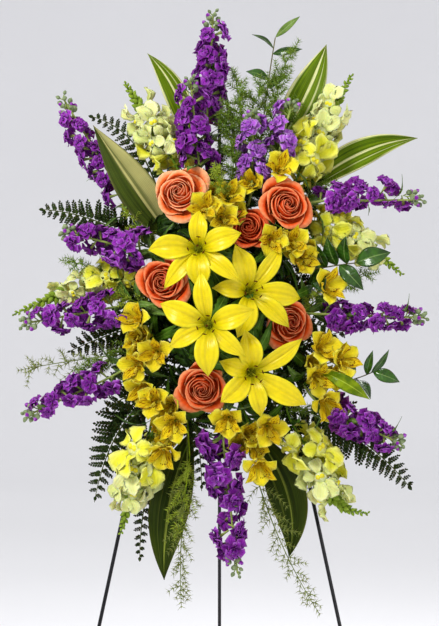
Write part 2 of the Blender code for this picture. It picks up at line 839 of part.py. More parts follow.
def lilies():
    return [
        lily("lily_top", (-3.6, 8.7, 20.5), -4, 6,
             {179: 8.2, 273: 6.9, 19: 7.5}, {232: 8.6, 323: 8.9, 88: 6.2}),
        lily("lily_right", (5.3, 1.6, 18.2), 14, 4,
             {354: 8.9, 109: 8.1, 256: 7.9}, {51: 9.3, 174: 6.2, 318: 8.8}),
        lily("lily_middle", (-2.0, -3.9, 24.2), -6, 0,
             {158: 8.6, 270: 8.3, 18: 7.8}, {99: 8.7, 206: 7.4, 320: 7.9}),
        lily("lily_bottom", (5.4, -11.9, 21.2), 8, -6,
             {330: 10.5, 97: 7.1, 223: 6.9}, {31: 10.0, 156: 5.6, 283: 7.4}),
    ]


def roses():
    return [
        rose("rose_top_left", (-7.0, 18.3, 15), -14, 14, 4.4),
        rose("rose_top_right", (11.6, 16.2, 15), 16, 10, 4.3),
        rose("rose_middle", (4.8, 12.5, 14.6), 2, 12, 3.5),
        rose("rose_left", (-9.8, 3.2, 14.5), -18, 0, 4.2),
        rose("rose_right", (12.2, -3.8, 13.5), 20, -6, 4.0),
        rose("rose_bottom", (-3.0, -14.8, 16), -6, -14, 4.2),
    ]


def stocks():
    return [
        stock("stock_top", [((-2.1, 31.0, 5.5), (-1.1, 49.0, 4), 8, 2.4)], 1),
        stock("stock_top_low", [((-3.4, 22.8, 9.5), (-4.9, 37.0, 9.5), 7, 2.1)], 2),
        stock("stock_top_pair", [((5.4, 19.0, 11), (5.6, 31.5, 10.5), 6, 2.0),
                                 ((9.4, 23.6, 9.5), (12.2, 33.2, 9.5), 5, 1.8)], 3),
        stock("stock_left_upper", [((-16.4, 17.8, 3.0), (-26.8, 34.8, 3.0), 8, 2.3)], 4),
        stock("stock_left", [((-14.0, 9.2, 11), (-26.0, 11.6, 9.5), 7, 2.3)], 5),
        stock("stock_left_middle", [((-17.0, -0.9, 9), (-33.0, -3.8, 8), 7, 2.2)], 6),
        stock("stock_left_low", [((-18.0, -12.6, 9), (-32.6, -19.4, 8), 7, 2.3)], 7),
        stock("stock_right_upper", [((16.8, 16.8, 8.5), (34.2, 17.2, 6.5), 7, 2.4)], 8),
        stock("stock_right", [((17.6, -2.2, 9.5), (34.6, -2.8, 7.5), 7, 2.6)], 9),
        stock("stock_right_low", [((18.6, -18.4, 9.5), (30.5, -24.0, 9), 7, 2.5)], 10),
        stock("stock_bottom", [((0.6, -22.6, 12), (3.2, -45.6, 9.5), 8, 2.5)], 11),
    ]


def snapdragons():
    return [
        snapdragon("snapdragon_top_left", [(-8.2, 24.4, 7.5), (-16.0, 37.0, 6.5)], 0.0, 6, 2, 1.5),
        snapdragon("snapdragon_top_right", [(13.8, 22.6, 6.0), (22.6, 38.6, 4.5)], -0.5, 7, 2, 1.55),
        snapdragon("snapdragon_left", [(-15.5, 4.2, 5.5), (-35.0, -2.2, 4.5)], -1.5, 6, 3, 1.4),
        snapdragon("snapdragon_right", [(17.2, 12.6, 5.5), (31.0, 4.6, 5.0)], -2.5, 6, 3, 1.55),
        snapdragon("snapdragon_bottom_left", [(-12.4, -24.6, 10), (-16.6, -39.0, 8.5)], -1.0, 7, 2, 1.6),
        snapdragon("snapdragon_bottom_right", [(13.4, -22.6, 9.5), (16.8, -35.5, 8.5), (25.0, -35.8, 8)],
                   0.0, 6, 3, 1.55),
    ]


def alstroemerias():
    return [
        alstroemeria("alstroemeria_top", (-1.2, 14.6, 9.5), [
            ((-2.6, 15.6, 17.5), -8, 10, 10, 3.0),
            ((0.6, 13.6, 16.8), 8, 0, 40, 3.0),
            ((1.0, 18.6, 14.5), 10, 24, 20, 2.9),
        ]),
        alstroemeria("alstroemeria_top_right", (9.6, 9.2, 8.5), [
            ((8.4, 10.1, 15.6), 8, -6, 0, 2.7),
            ((12.4, 9.8, 14.6), 16, 4, 35, 2.8),
            ((14.2, 7.0, 13.5), 26, -4, 50, 3.0),
        ]),
        alstroemeria("alstroemeria_right", (16.0, 2.6, 8.0), [((18.6, 2.6, 12.5), 30, 8, 15, 3.2)]),
        alstroemeria("alstroemeria_left", (-11.4, -6.6, 8.0), [
            ((-14.6, -2.6, 12.5), -26, 16, 0, 3.0),
            ((-10.8, -8.6, 15.0), -10, -4, 25, 3.1),
            ((-14.4, -11.0, 13.0), -26, -10, 50, 3.0),
        ]),
        alstroemeria("alstroemeria_bottom_left", (-8.4, -19.0, 8.5), [
            ((-11.2, -16.6, 14.0), -16, 4, 20, 3.0),
            ((-7.8, -20.8, 15.0), -8, -16, 45, 3.2),
            ((-9.4, -26.0, 13.5), -10, -34, 10, 3.1),
        ]),
        alstroemeria("alstroemeria_bottom", (5.0, -21.0, 9.5), [
            ((1.2, -20.0, 16.0), -6, -14, 30, 3.0),
            ((8.4, -21.4, 15.5), 10, -12, 0, 3.2),
            ((6.8, -28.2, 14.0), 6, -30, 35, 3.2),
        ]),
        alstroemeria("alstroemeria_right_low", (15.4, -11.6, 7.5), [
            ((17.6, -7.6, 13.0), 22, 10, 10, 3.0),
            ((21.4, -9.8, 12.0), 34, 6, 40, 3.0),
            ((16.8, -13.0, 13.5), 18, -10, 25, 3.1),
            ((20.6, -15.6, 12.0), 30, -20, 55, 3.1),
        ]),
    ]


def leaves():
    return [
        broad_leaf("leaf_left_tall", [(-7.6, 10.0, 6.0), (-13.6, 18.0, 10.5), (-21.4, 29.8, 6.5)], 6.6),
        broad_leaf("leaf_top_left", [(-4.6, 26.0, 2.5), (-6.4, 36.5, 2.6), (-12.4, 42.6, 2.0)], 4.2),
        broad_leaf("leaf_top_right", [(9.0, 25.0, 2.0), (15.4, 35.5, 2.6), (18.4, 44.2, 1.6)], 6.0),
        broad_leaf("leaf_right_upper", [(14.0, 18.4, 3.0), (23.0, 27.0, 4.2), (34.0, 28.0, 2.5)], 5.0),
        broad_leaf("leaf_bottom_left", [(-4.6, -22.0, 6.0), (-10.0, -35.0, 7.0), (-9.4, -47.4, 5.4)], 7.0),
        broad_leaf("leaf_bottom_right", [(5.6, -22.0, 5.0), (14.4, -33.0, 6.0), (11.8, -43.6, 5.0)], 6.6),
    ]


def ferns():
    return [
        fern("fern_left_upper", (-8.6, 8.4, 1.5), [
            ([(-12.6, 9.4, 1.8), (-22.0, 15.5, 2.2), (-31.0, 15.8, 2.0)], 9.5, 9),
            ([(-9.8, 16.0, 1.0), (-13.0, 30.0, 1.2), (-22.6, 32.0, 0.8)], 6.5, 8),
        ]),
        fern("fern_left_middle", (-8.6, -3.4, 2.0), [
            ([(-13.4, -4.2, 3.0), (-19.0, -5.4, 3.4), (-25.6, -8.4, 3.0)], 7.5, 7),
        ]),
        fern("fern_left_low", (-9.0, -14.0, 2.0), [
            ([(-13.0, -17.0, 3.0), (-19.5, -23.0, 3.4), (-21.4, -34.4, 3.2)], 10.5, 10),
            ([(-10.6, -26.0, 4.6), (-13.6, -35.0, 5.0), (-13.6, -44.4, 4.6)], 5.0, 7),
        ]),
        fern("fern_right_low", (9.4, -14.0, 2.0), [
            ([(14.0, -18.4, 2.6), (26.0, -23.0, 3.0), (33.0, -32.4, 2.6)], 11.0, 10),
        ]),
    ]


def asparagus_ferns():
    return [
        asparagus("asparagus_top", (5.4, 20.0, 3.0), [
            ([(6.4, 24.0, 3.6), (8.0, 36.0, 4.4), (13.6, 44.6, 4.0)], 4, 2, 4.5),
            ([(4.4, 28.0, 3.6), (3.2, 34.0, 4.6), (2.6, 39.6, 4.2)], 2, 0, 3.4),
        ], 21),
        asparagus("asparagus_left", (-8.0, -5.8, 4.8), [
            ([(-13.0, -8.6, 5.0), (-26.0, -10.0, 6.0), (-34.4, -11.8, 4.6)], 4, 2, 4.6),
        ], 22),
        asparagus("asparagus_bottom_left", (-5.4, -20.0, 9.0), [
            ([(-5.4, -30.0, 10.0), (-7.0, -41.0, 10.4), (-6.4, -51.6, 8.8)], 4, 2, 4.0),
        ], 23),
        asparagus("asparagus_bottom_right", (6.2, -19.0, 8.0), [
            ([(6.4, -30.0, 9.0), (10.0, -42.0, 9.4), (17.0, -53.0, 7.6)], 4, 2, 4.2),
        ], 24),
    ]


def twigs():
    return [
        twig("twig_top", [(7.0, 26.0, 1.2), (8.0, 36.0, 1.4), (9.6, 45.4, 1.4)], [
            (1.0, (0.75, 0.65, 0.1), 5.6, 2.2),
            (0.9, (-0.8, 0.6, 0.2), 4.4, 1.8),
            (0.85, (1.0, 0.15, 0.3), 5.2, 1.9),
            (0.55, (-0.9, 0.35, 0.3), 3.6, 1.8),
        ]),
        twig("twig_right", [(13.2, 4.8, 9.0), (20.0, 7.0, 10.4), (24.6, 8.2, 10.4)], [
            (1.0, (0.9, 0.35, 0.1), 4.4, 2.4),
            (0.80, (-0.25, 1.0, 0.3), 3.6, 1.8),
            (0.62, (-0.45, 1.0, 0.4), 3.8, 2.0),
            (0.70, (0.75, -0.9, 0.5), 4.6, 1.9),
            (0.36, (-0.4, -1.0, -0.5), 3.0, 2.1),
        ]),
        twig("twig_right_low", [(17.0, -14.6, 5.0), (22.6, -13.6, 6.4), (26.0, -12.0, 6.4)], [
            (1.0, (1.0, -0.35, 0.2), 4.6, 2.6),
            (0.95, (0.6, 1.0, 0.2), 4.8, 1.3),
            (0.85, (0.2, 1.0, 0.4), 4.2, 1.5),
            (0.60, (0.75, -0.8, 0.9), 5.4, 2.4),
        ]),
    ]


def arrangement():
    return [
        *lilies(), *roses(), *stocks(), *snapdragons(), *alstroemerias(),
        *leaves(), *ferns(), *asparagus_ferns(), *twigs(),
    ]


# Stems


def foam_port(plant):
    """Where a stem enters the foam and which way it points there, in the foam's own frame."""
    half = FOAM_SIZE / 2
    head = FOAM_FRAME.inverted() @ plant.head
    ratios = (abs(head.x) / half.x, -head.y / half.y, abs(head.z) / half.z)
    face = ratios.index(max(ratios))
    deep = HOLE_DEPTH + PORT_MARGIN
    low_band = HOOP_HEIGHT - HOOP_WIDTH / 2 - PORT_MARGIN
    if face == 1:
        return face, Vector((head.x * 0.3, -half.y, head.z * 0.35)), Vector((0, -1, 0)), (
            half.x - PORT_MARGIN, 0, low_band)
    side = math.copysign(1, head[face])
    depth = min(half.y - PORT_MARGIN, max(-half.y + deep, 3 * CM + head.y * 0.5))
    if face == 0:
        return face, Vector((side * half.x, depth, head.z * 0.3)), Vector((side, 0, 0)), (0, half.y, low_band)
    across_limit = half.x - PORT_MARGIN
    return face, Vector((head.x * 0.4, depth, side * half.z)), Vector((0, 0, side)), (across_limit, half.y, 0)


def clamp_port(port, face, limits):
    """Keeps a port on its own face of the foam, off the edges and clear of the holes in the front."""
    half = FOAM_SIZE / 2
    if face != 0:
        port.x = max(-limits[0], min(limits[0], port.x))
    if face == 1:
        port.y = -half.y
    else:
        port.y = max(-half.y + HOLE_DEPTH + PORT_MARGIN, min(half.y - PORT_MARGIN, port.y))
    if face != 2:
        port.z = max(-limits[2], min(limits[2], port.z))


def spread_ports(ports):
    """Slides the ports on each face apart."""
    for _ in range(SETTLING_ROUNDS):
        for (face_a, a, _, limits_a), (face_b, b, _, limits_b) in itertools.combinations(ports, 2):
            gap = b - a
            if face_a != face_b or gap.length > PORT_SPACING:
                continue
            push = gap.normalized() * (PORT_SPACING - gap.length) * 0.5
            a -= push
            b += push
            clamp_port(a, face_a, limits_a)
            clamp_port(b, face_b, limits_b)


def first_path(plant, port):
    """A stem from its hole in the foam in one sweep to its head: two points in the hole, then free ones."""
    _, place, normal, _ = port
    mouth = FOAM_FRAME @ place
    out = FOAM_FRAME.to_3x3() @ normal
    toward = (plant.head - mouth).normalized()
    out = (out * 0.8 + toward * 0.2).normalized()
    start = mouth + out * STRAIGHT_RUN
    span = (plant.head - start).length
    sweep = [start, start + out * span * 0.35, plant.head - plant.arrival * span * 0.35, plant.head]
    return [mouth - out * HOLE_DEPTH, start, *(bezier(sweep, t) for t in (0.38, 0.78)), plant.head]


def push_apart(first, second):
    """Moves the free points of two stems whose runs pass too close."""
    need = first.radius + second.radius + STEM_CLEARANCE
    for i, j in itertools.product(range(1, 4), range(1, 4)):
        a, b = first.path[i], first.path[i + 1]
        c, d = second.path[j], second.path[j + 1]
        if ((a + b) - (c + d)).length * 0.5 > need + ((b - a).length + (d - c).length) * 0.5:
            continue
        near, other, s, t = nearest(a, b, c, d)
        gap = other - near
        if gap.length >= need:
            continue
        push = gap.normalized() * (need - gap.length) * 0.5
        shift(first.path, i, s, -push)
        shift(second.path, j, t, push)


def nearest(a, b, c, d):
    """The nearest points of two runs, and how far along each they are."""
    found = intersect_line_line(a, b, c, d) or (a, c)
    s = max(0.0, min(1.0, (found[0] - a).dot(b - a) / (b - a).length_squared))
    t = max(0.0, min(1.0, (a.lerp(b, s) - c).dot(d - c) / (d - c).length_squared))
    s = max(0.0, min(1.0, (c.lerp(d, t) - a).dot(b - a) / (b - a).length_squared))
    return a.lerp(b, s), c.lerp(d, t), s, t


def shift(path, index, share, push):
    """Moves a run by its free ends; the ends in the foam and at the head stay."""
    if index >= 2:
        path[index] += push * (1 - share) * 2
    if index + 1 <= 3:
        path[index + 1] += push * max(share, 0.3) * 2


def keep_out(plant, balls):
    """Moves a stem's free points out of other plants' heads."""
    for index in range(1, 4):
        a, b = plant.path[index], plant.path[index + 1]
        for centre, radius in balls:
            need = radius + plant.radius
            if (centre - (a + b) * 0.5).length > need + (b - a).length * 0.5:
                continue
            s = max(0.0, min(1.0, (centre - a).dot(b - a) / (b - a).length_squared))
            gap = a.lerp(b, s) - centre
            if gap.length < need:
                shift(plant.path, index, s, gap.normalized() * (need - gap.length) * 0.5)


def hoop_balls():
    """Balls along the cage's hoops, which the stems keep out of too."""
    half = FOAM_SIZE / 2
    steps = [index / 8 for index in range(-8, 9)]
    balls = []
    for height in (-HOOP_HEIGHT, HOOP_HEIGHT):
        rim = [Vector((half.x * step, -half.y, height)) for step in steps]
        rim += [Vector((side * half.x, half.y * step, height)) for side in (-1, 1) for step in steps]
        balls += [(FOAM_FRAME @ point, 6.5 * MM) for point in rim]
    return balls


def settle_stems(plants):
    """Gives every stem a path that keeps clear of the other stems, the other heads and the cage."""
    ports = [foam_port(plant) for plant in plants]
    for face, place, _, limits in ports:
        clamp_port(place, face, limits)
    spread_ports(ports)
    for plant, port in zip(plants, ports):
        plant.path = first_path(plant, port)
    hoops = hoop_balls()
    for _ in range(SETTLING_ROUNDS):
        for first, second in itertools.combinations(plants, 2):
            push_apart(first, second)
        for plant in plants:
            others = [ball for other in plants if other is not plant for ball in other.balls]
            keep_out(plant, others + hoops)


# Assembly


def build_easel():
    file_part(front_leg(-1), "easel_front_leg_left", "wire")
    file_part(front_leg(1), "easel_front_leg_right", "wire")
    file_part(cross_bar(HANGER_HEIGHT), "easel_hanger_bar", "wire")
    file_part(cross_bar(BRACE_HEIGHT), "easel_brace_bar", "wire")
    file_part(hinge_staple(), "easel_hinge_staple", "wire")
    file_part(back_leg(), "easel_back_leg", "wire")


def build_plant(plant):
    stem = rod([*plant.path, *plant.spike], plant.radius, end_scale=0.6 if plant.spike else 1.0)
    file_part(fuse([stem, *plant.bits], "MANIFOLD"), plant.name, plant.look)


def main():
    clear_scene()
    new_collection("standing_funeral_spray")
    build_easel()
    file_part(spray_cage(), "spray_cage", "cage")
    plants = arrangement()
    settle_stems(plants)
    file_part(wet_foam(plants), "wet_foam", "foam")
    for plant in plants:
        build_plant(plant)


main()
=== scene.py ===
"""Looks of the standing funeral spray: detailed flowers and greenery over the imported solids, on its easel.

X runs to the viewer's right, -Y towards the viewer and +Z up, in metres. Places in the arrangement are
centimetres right of, above and in front of the middle of the foam.
"""

import itertools
import json
import math

import bmesh
import bpy
import numpy as np
from mathutils import Matrix, Vector


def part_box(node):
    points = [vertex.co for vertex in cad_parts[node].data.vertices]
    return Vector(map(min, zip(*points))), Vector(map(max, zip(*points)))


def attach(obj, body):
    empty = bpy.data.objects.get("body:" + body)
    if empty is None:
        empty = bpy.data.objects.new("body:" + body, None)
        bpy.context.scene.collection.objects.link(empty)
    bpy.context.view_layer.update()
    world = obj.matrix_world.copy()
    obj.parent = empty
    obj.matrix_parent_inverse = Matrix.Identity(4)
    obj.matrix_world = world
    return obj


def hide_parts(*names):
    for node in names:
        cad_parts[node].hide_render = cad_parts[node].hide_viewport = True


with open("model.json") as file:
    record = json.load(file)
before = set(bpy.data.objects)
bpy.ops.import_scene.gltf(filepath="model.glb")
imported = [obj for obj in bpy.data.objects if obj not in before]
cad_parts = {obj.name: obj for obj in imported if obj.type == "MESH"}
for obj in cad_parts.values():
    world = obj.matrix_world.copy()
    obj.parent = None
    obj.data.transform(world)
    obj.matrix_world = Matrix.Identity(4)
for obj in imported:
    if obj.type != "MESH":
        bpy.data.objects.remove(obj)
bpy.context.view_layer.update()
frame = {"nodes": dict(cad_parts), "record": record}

CM = 0.01
MM = 0.001
GOLDEN_TURN = math.radians(137.5)  # the turn from one floret to the next up a spike
TO_VIEWER = Vector((0, -1, 0))

# The photograph's view: level, at the height of the flowers
CAMERA_DISTANCE = 3.3  # from the middle of the foam
CAMERA_HEIGHT = 0.98
CAMERA_LENS = 109.8

# The studio: a bowl of pale floor and wall
STAGE_RADIUS = 12.0
STAGE_BEND = 4.0
STAGE_HEIGHT = 6.0
STAGE_STEPS = 12
STAGE_SIDES = 72
FLOOR_LEVEL = -0.002

# The light: an even sky and three lamps, each with its place, its size and its power in watts
SKY_STRENGTH = 0.98
LAMPS = {
    "key": ((-1.5, -2.3, 2.7), 0.9, 80),
    "fill": ((2.4, -2.0, 1.3), 1.6, 14),
    "back": ((0.8, 1.5, 2.8), 1.0, 40),
}

foam_low, foam_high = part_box("wet_foam")
HEART = (foam_low + foam_high) / 2


def spot(across, up, out):
    """A point in centimetres right of, above and in front of the middle of the foam."""
    return HEART + Vector((across, -out, up)) * CM


def spots(places):
    return [spot(*place) for place in places]


def colour(code):
    """A linear colour from a six-digit hexadecimal sRGB one."""
    shares = [((code >> shift) & 255) / 255 for shift in (16, 8, 0)]
    linear = [s / 12.92 if s <= 0.04045 else ((s + 0.055) / 1.055) ** 2.4 for s in shares]
    return (*linear, 1.0)


# Materials: every mesh point carries a note of how far across and along its petal or leaf it is, and a tone


PLANT_SPECULAR = 0.05
PETAL_GLOW_REACH = (1.0, 0.6, 0.3)  # how far red, green and blue light spreads in a petal
TONE_SHIFT = 40.0  # moves petals of different tones to different parts of a texture


class Look:
    """A Principled material whose colour and relief come from nodes."""

    def __init__(self, name, roughness, **sockets):
        self.material = bpy.data.materials.new(name)
        self.material.use_nodes = True
        self.tree = self.material.node_tree
        self.shader = self.tree.nodes["Principled BSDF"]
        self.shader.inputs["Roughness"].default_value = roughness
        self.shader.inputs["Specular IOR Level"].default_value = PLANT_SPECULAR
        for socket, value in sockets.items():
            self.shader.inputs[socket.replace("_", " ")].default_value = value
        note = self.add("ShaderNodeAttribute", attribute_name="note")
        split = self.add("ShaderNodeSeparateColor")
        self.feed(split.inputs[0], note.outputs["Color"])
        self.across, self.along, self.tone = split.outputs
        self.place = self.add("ShaderNodeTexCoord").outputs["Object"]

    def add(self, kind, **settings):
        node = self.tree.nodes.new(kind)
        for key, value in settings.items():
            setattr(node, key, value)
        return node

    def feed(self, socket, value):
        if isinstance(value, bpy.types.NodeSocket):
            self.tree.links.new(value, socket)
        else:
            socket.default_value = value

    def math(self, operation, first, second=0.0):
        node = self.add("ShaderNodeMath", operation=operation)
        self.feed(node.inputs[0], first)
        self.feed(node.inputs[1], second)
        return node.outputs[0]

    def mix(self, factor, first, second, blend="MIX"):
        node = self.add("ShaderNodeMix", data_type="RGBA", blend_type=blend)
        self.feed(node.inputs[0], factor)
        self.feed(node.inputs[6], first)
        self.feed(node.inputs[7], second)
        return node.outputs[2]

    def ramp(self, factor, stops):
        """A colour ramp of (place, colour or grey) stops."""
        node = self.add("ShaderNodeValToRGB")
        band = node.color_ramp
        while len(band.elements) < len(stops):
            band.elements.new(0.5)
        for element, (place, value) in zip(band.elements, stops):
            element.position = place
            element.color = (value, value, value, 1) if isinstance(value, float) else value
        self.feed(node.inputs[0], factor)
        return node.outputs[0]

    def noise(self, scale, detail=3.0, place=None):
        node = self.add("ShaderNodeTexNoise")
        self.feed(node.inputs["Vector"], place or self.place)
        node.inputs["Scale"].default_value = scale
        node.inputs["Detail"].default_value = detail
        return node.outputs[0]

    def times(self, first, second):
        return self.math("MULTIPLY", first, second)

    def plus(self, first, second):
        return self.math("ADD", first, second)

    def fade(self, factor, low, high):
        """0 up to the low place and 1 from the high one on."""
        return self.ramp(factor, [(low, 0.0), (high, 1.0)])

    def shaded(self, paint, shade):
        return self.mix(1.0, paint, shade, "MULTIPLY")

    def leaf_place(self, lengths, widths):
        """Texture places along and across the leaf, for streaks that run its length."""
        join = self.add("ShaderNodeCombineXYZ")
        self.feed(join.inputs[0], self.times(self.across, widths))
        self.feed(join.inputs[1], self.times(self.along, lengths))
        self.feed(join.inputs[2], self.times(self.tone, TONE_SHIFT))
        return join.outputs[0]

    def off_centre(self):
        """0 at the midrib and 1 at either edge."""
        return self.times(self.math("ABSOLUTE", self.math("SUBTRACT", self.across, 0.5)), 2.0)

    def veins(self, count, wobble=1.5):
        """Fine ridges that run along the petal or leaf: 0 to 1."""
        turn = self.plus(self.times(self.across, count * math.tau), self.times(self.noise(60.0), wobble))
        return self.plus(self.times(self.math("SINE", turn), 0.5), 0.5)

    def finish(self, colour_socket, relief, depth):
        self.feed(self.shader.inputs["Base Color"], colour_socket)
        bump = self.add("ShaderNodeBump")
        bump.inputs["Strength"].default_value = 1.0
        bump.inputs["Distance"].default_value = depth
        self.feed(bump.inputs["Height"], relief)
        self.feed(self.shader.inputs["Normal"], bump.outputs[0])
        return self.material


def petal_look(name, codes, vein_count=9, vein_depth=0.12, edge_power=5.0, glow=0.10, roughness=0.5,
               shadow=0.35, root_end=0.30, tip_start=0.82, flecks=None, dark=None, shine=PLANT_SPECULAR):
    """A petal with the colours of its root, body, tip and edge, fine veins and optional flecks."""
    look = Look(name, roughness, Subsurface_Weight=glow, Subsurface_Scale=3 * MM, Specular_IOR_Level=shine)
    look.shader.inputs["Subsurface Radius"].default_value = PETAL_GLOW_REACH
    root, body, tip, edge = (colour(code) for code in codes)
    paint = look.ramp(look.along, [(0.0, root), (root_end, body), (tip_start, body), (1.0, tip)])
    paint = look.mix(look.math("POWER", look.off_centre(), edge_power), paint, edge)
    veins = look.veins(vein_count)
    paint = look.mix(look.times(veins, vein_depth), paint, root)
    if flecks:
        paint = flecked(look, paint, colour(flecks))
    # Darker towards the dark colour where the tone is low, by the shadow share: on roses, whose inner petals
    # get low tones, this is painted shade deep in the bloom; on other petals the tones are random.
    deep = look.times(look.math("SUBTRACT", 1.0, look.tone), shadow)
    paint = look.mix(deep, paint, colour(dark) if dark else root)
    paint = look.shaded(paint, look.ramp(look.noise(90.0), [(0.3, 0.86), (0.7, 1.0)]))
    relief = look.plus(look.times(veins, 0.7), look.times(look.noise(400.0), 0.3))
    return look.finish(paint, relief, 0.4 * MM)


def flecked(look, paint, dark):
    """Short dark dashes along the petal, none at its root and tip."""
    marks = look.fade(look.noise(1.0, 1.0, look.leaf_place(5.0, 16.0)), 0.55, 0.60)
    band = look.ramp(look.along, [(0.25, 0.0), (0.40, 1.0), (0.78, 1.0), (0.88, 0.0)])
    return look.mix(look.times(marks, band), paint, dark)


def leaf_look(name, dark, light, rib, vein_count=8, gloss=0.0, roughness=0.45):
    """A plain leaf: two greens in soft patches, a pale midrib and side veins."""
    look = Look(name, roughness, Coat_Weight=gloss, Coat_Roughness=0.12, Subsurface_Weight=0.05,
                Subsurface_Scale=2 * MM)
    paint = look.mix(look.fade(look.noise(60.0), 0.35, 0.65), colour(dark), colour(light))
    paint = look.shaded(paint, look.ramp(look.tone, [(0.0, 0.55), (1.0, 1.15)]))
    line = look.ramp(look.off_centre(), [(0.02, 1.0), (0.09, 0.0)])
    paint = look.mix(look.times(line, 0.6), paint, colour(rib))
    slant = look.plus(look.along, look.times(look.off_centre(), -0.12))
    side_veins = look.math("SINE", look.times(slant, vein_count * math.tau))
    relief = look.plus(look.times(side_veins, 0.5), look.noise(250.0))
    return look.finish(paint, relief, 0.4 * MM)


def stripe_look(name, dark, light, cream, bands):
    """A variegated leaf: ragged bands of cream along it, given as (place across it, share of cream)."""
    look = Look(name, 0.42, Coat_Weight=0.04, Coat_Roughness=0.25, Subsurface_Weight=0.05,
                Subsurface_Scale=2 * MM)
    streaks = look.noise(1.0, 4.0, look.leaf_place(1.6, 26.0))
    jitter = look.times(look.math("SUBTRACT", streaks, 0.5), 0.16)
    green = look.mix(look.fade(streaks, 0.3, 0.7), colour(dark), colour(light))
    paint = look.mix(look.ramp(look.plus(look.across, jitter), bands), green, colour(cream))
    paint = look.shaded(paint, look.ramp(look.noise(25.0), [(0.3, 0.82), (0.7, 1.0)]))
    veins = look.veins(26, 0.6)
    paint = look.mix(look.times(veins, 0.18), paint, colour(dark))
    return look.finish(paint, veins, 0.3 * MM)


def speckled_look(name, first, second, scale, roughness, depth, **sockets):
    """A plain grainy surface in two colours, with its relief's depth in mm."""
    look = Look(name, roughness, **sockets)
    grain = look.noise(scale, 6.0)
    paint = look.mix(look.fade(grain, 0.35, 0.65), colour(first), colour(second))
    return look.finish(paint, grain, depth * MM)


def petal_looks():
    rose = {"vein_count": 11, "shine": 0.0}
    stock = {"vein_count": 5, "edge_power": 3.0, "root_end": 0.25, "shine": 0.0}
    snapdragon = {"vein_count": 6, "edge_power": 2.0}
    alstroemeria = {"vein_count": 8, "glow": 0.2, "shadow": 0.50, "shine": 0.03}
    return {
        "lily": petal_look("lily_petal", (0x9A9C08, 0xDEC602, 0xD6C404, 0xE6D81E), vein_count=5,
                           vein_depth=0.17, glow=0.14, roughness=0.33, shadow=0.18, root_end=0.34,
                           shine=0.22),
        # On the roses the dark colour is painted shade on the inner petals, and the pale tips and edges are
        # partly the petals' own colour and partly painted highlight on their rims.
        "rose": petal_look("rose_petal", (0xC8300C, 0xE0541E, 0xF09E6C, 0xEC8A54), vein_depth=0.16,
                           edge_power=7.0, glow=0.24, shadow=0.75, dark=0xBC240A, tip_start=0.84, **rose),
        "rose_peach": petal_look("rose_petal_peach", (0xD64412, 0xEC6E30, 0xFCBE8E, 0xF8AA74),
                                 vein_depth=0.14, edge_power=6.0, glow=0.26, shadow=0.7, dark=0xC8340C,
                                 tip_start=0.84, **rose),
        "rose_red": petal_look("rose_petal_red", (0xC22008, 0xDE4618, 0xEE8452, 0xE86E3A), vein_depth=0.16,
                               glow=0.24, shadow=0.75, dark=0xAE1808, **rose),
        # The stocks' pale edges and tips are partly the petals' own colour and partly painted highlight on
        # their ruffled edges.
        "stock": petal_look("stock_petal", (0xCE96DA, 0x8A1EA4, 0xB45AD0, 0xC47CDC), shadow=0.75,
                            dark=0x560E68, **stock),
        "stock_light": petal_look("stock_petal_light", (0xD8B8E8, 0xA450C4, 0xD094E4, 0xD8A8EC), shadow=0.65,
                                  dark=0x742290, **stock),
        "snapdragon": petal_look("snapdragon_petal", (0xB8C840, 0xE0E09A, 0xF2F2D0, 0xECECB8), glow=0.26,
                                 shadow=0.6, dark=0xA8B848, **snapdragon),
        "snapdragon_lemon": petal_look("snapdragon_petal_lemon", (0xC4CA14, 0xE6E03C, 0xF4F4B4, 0xF0F090),
                                       glow=0.2, shadow=0.55, dark=0xB8BC0E, **snapdragon),
        "palate": petal_look("snapdragon_palate", (0xDCD02A, 0xE8DC1C, 0xECE458, 0xE8DC40), vein_count=5,
                             shadow=0.3),
        "snapdragon_bud": petal_look("snapdragon_bud", (0x5E7A1C, 0x8CA436, 0xB4C468, 0x80962C), vein_count=5,
                                     shadow=0.6, dark=0x4E6A18),
        "alstroemeria": petal_look("alstroemeria_petal", (0xD4AC0C, 0xE4D224, 0xB8C83C, 0xF0E868),
                                   edge_power=3.0, dark=0xC09C08, **alstroemeria),
        "alstroemeria_flecked": petal_look("alstroemeria_flecked", (0xCC9408, 0xE2C61C, 0xBCC430, 0xECDC4C),
                                           flecks=0x7A3806, dark=0xB88C08, **alstroemeria),
    }


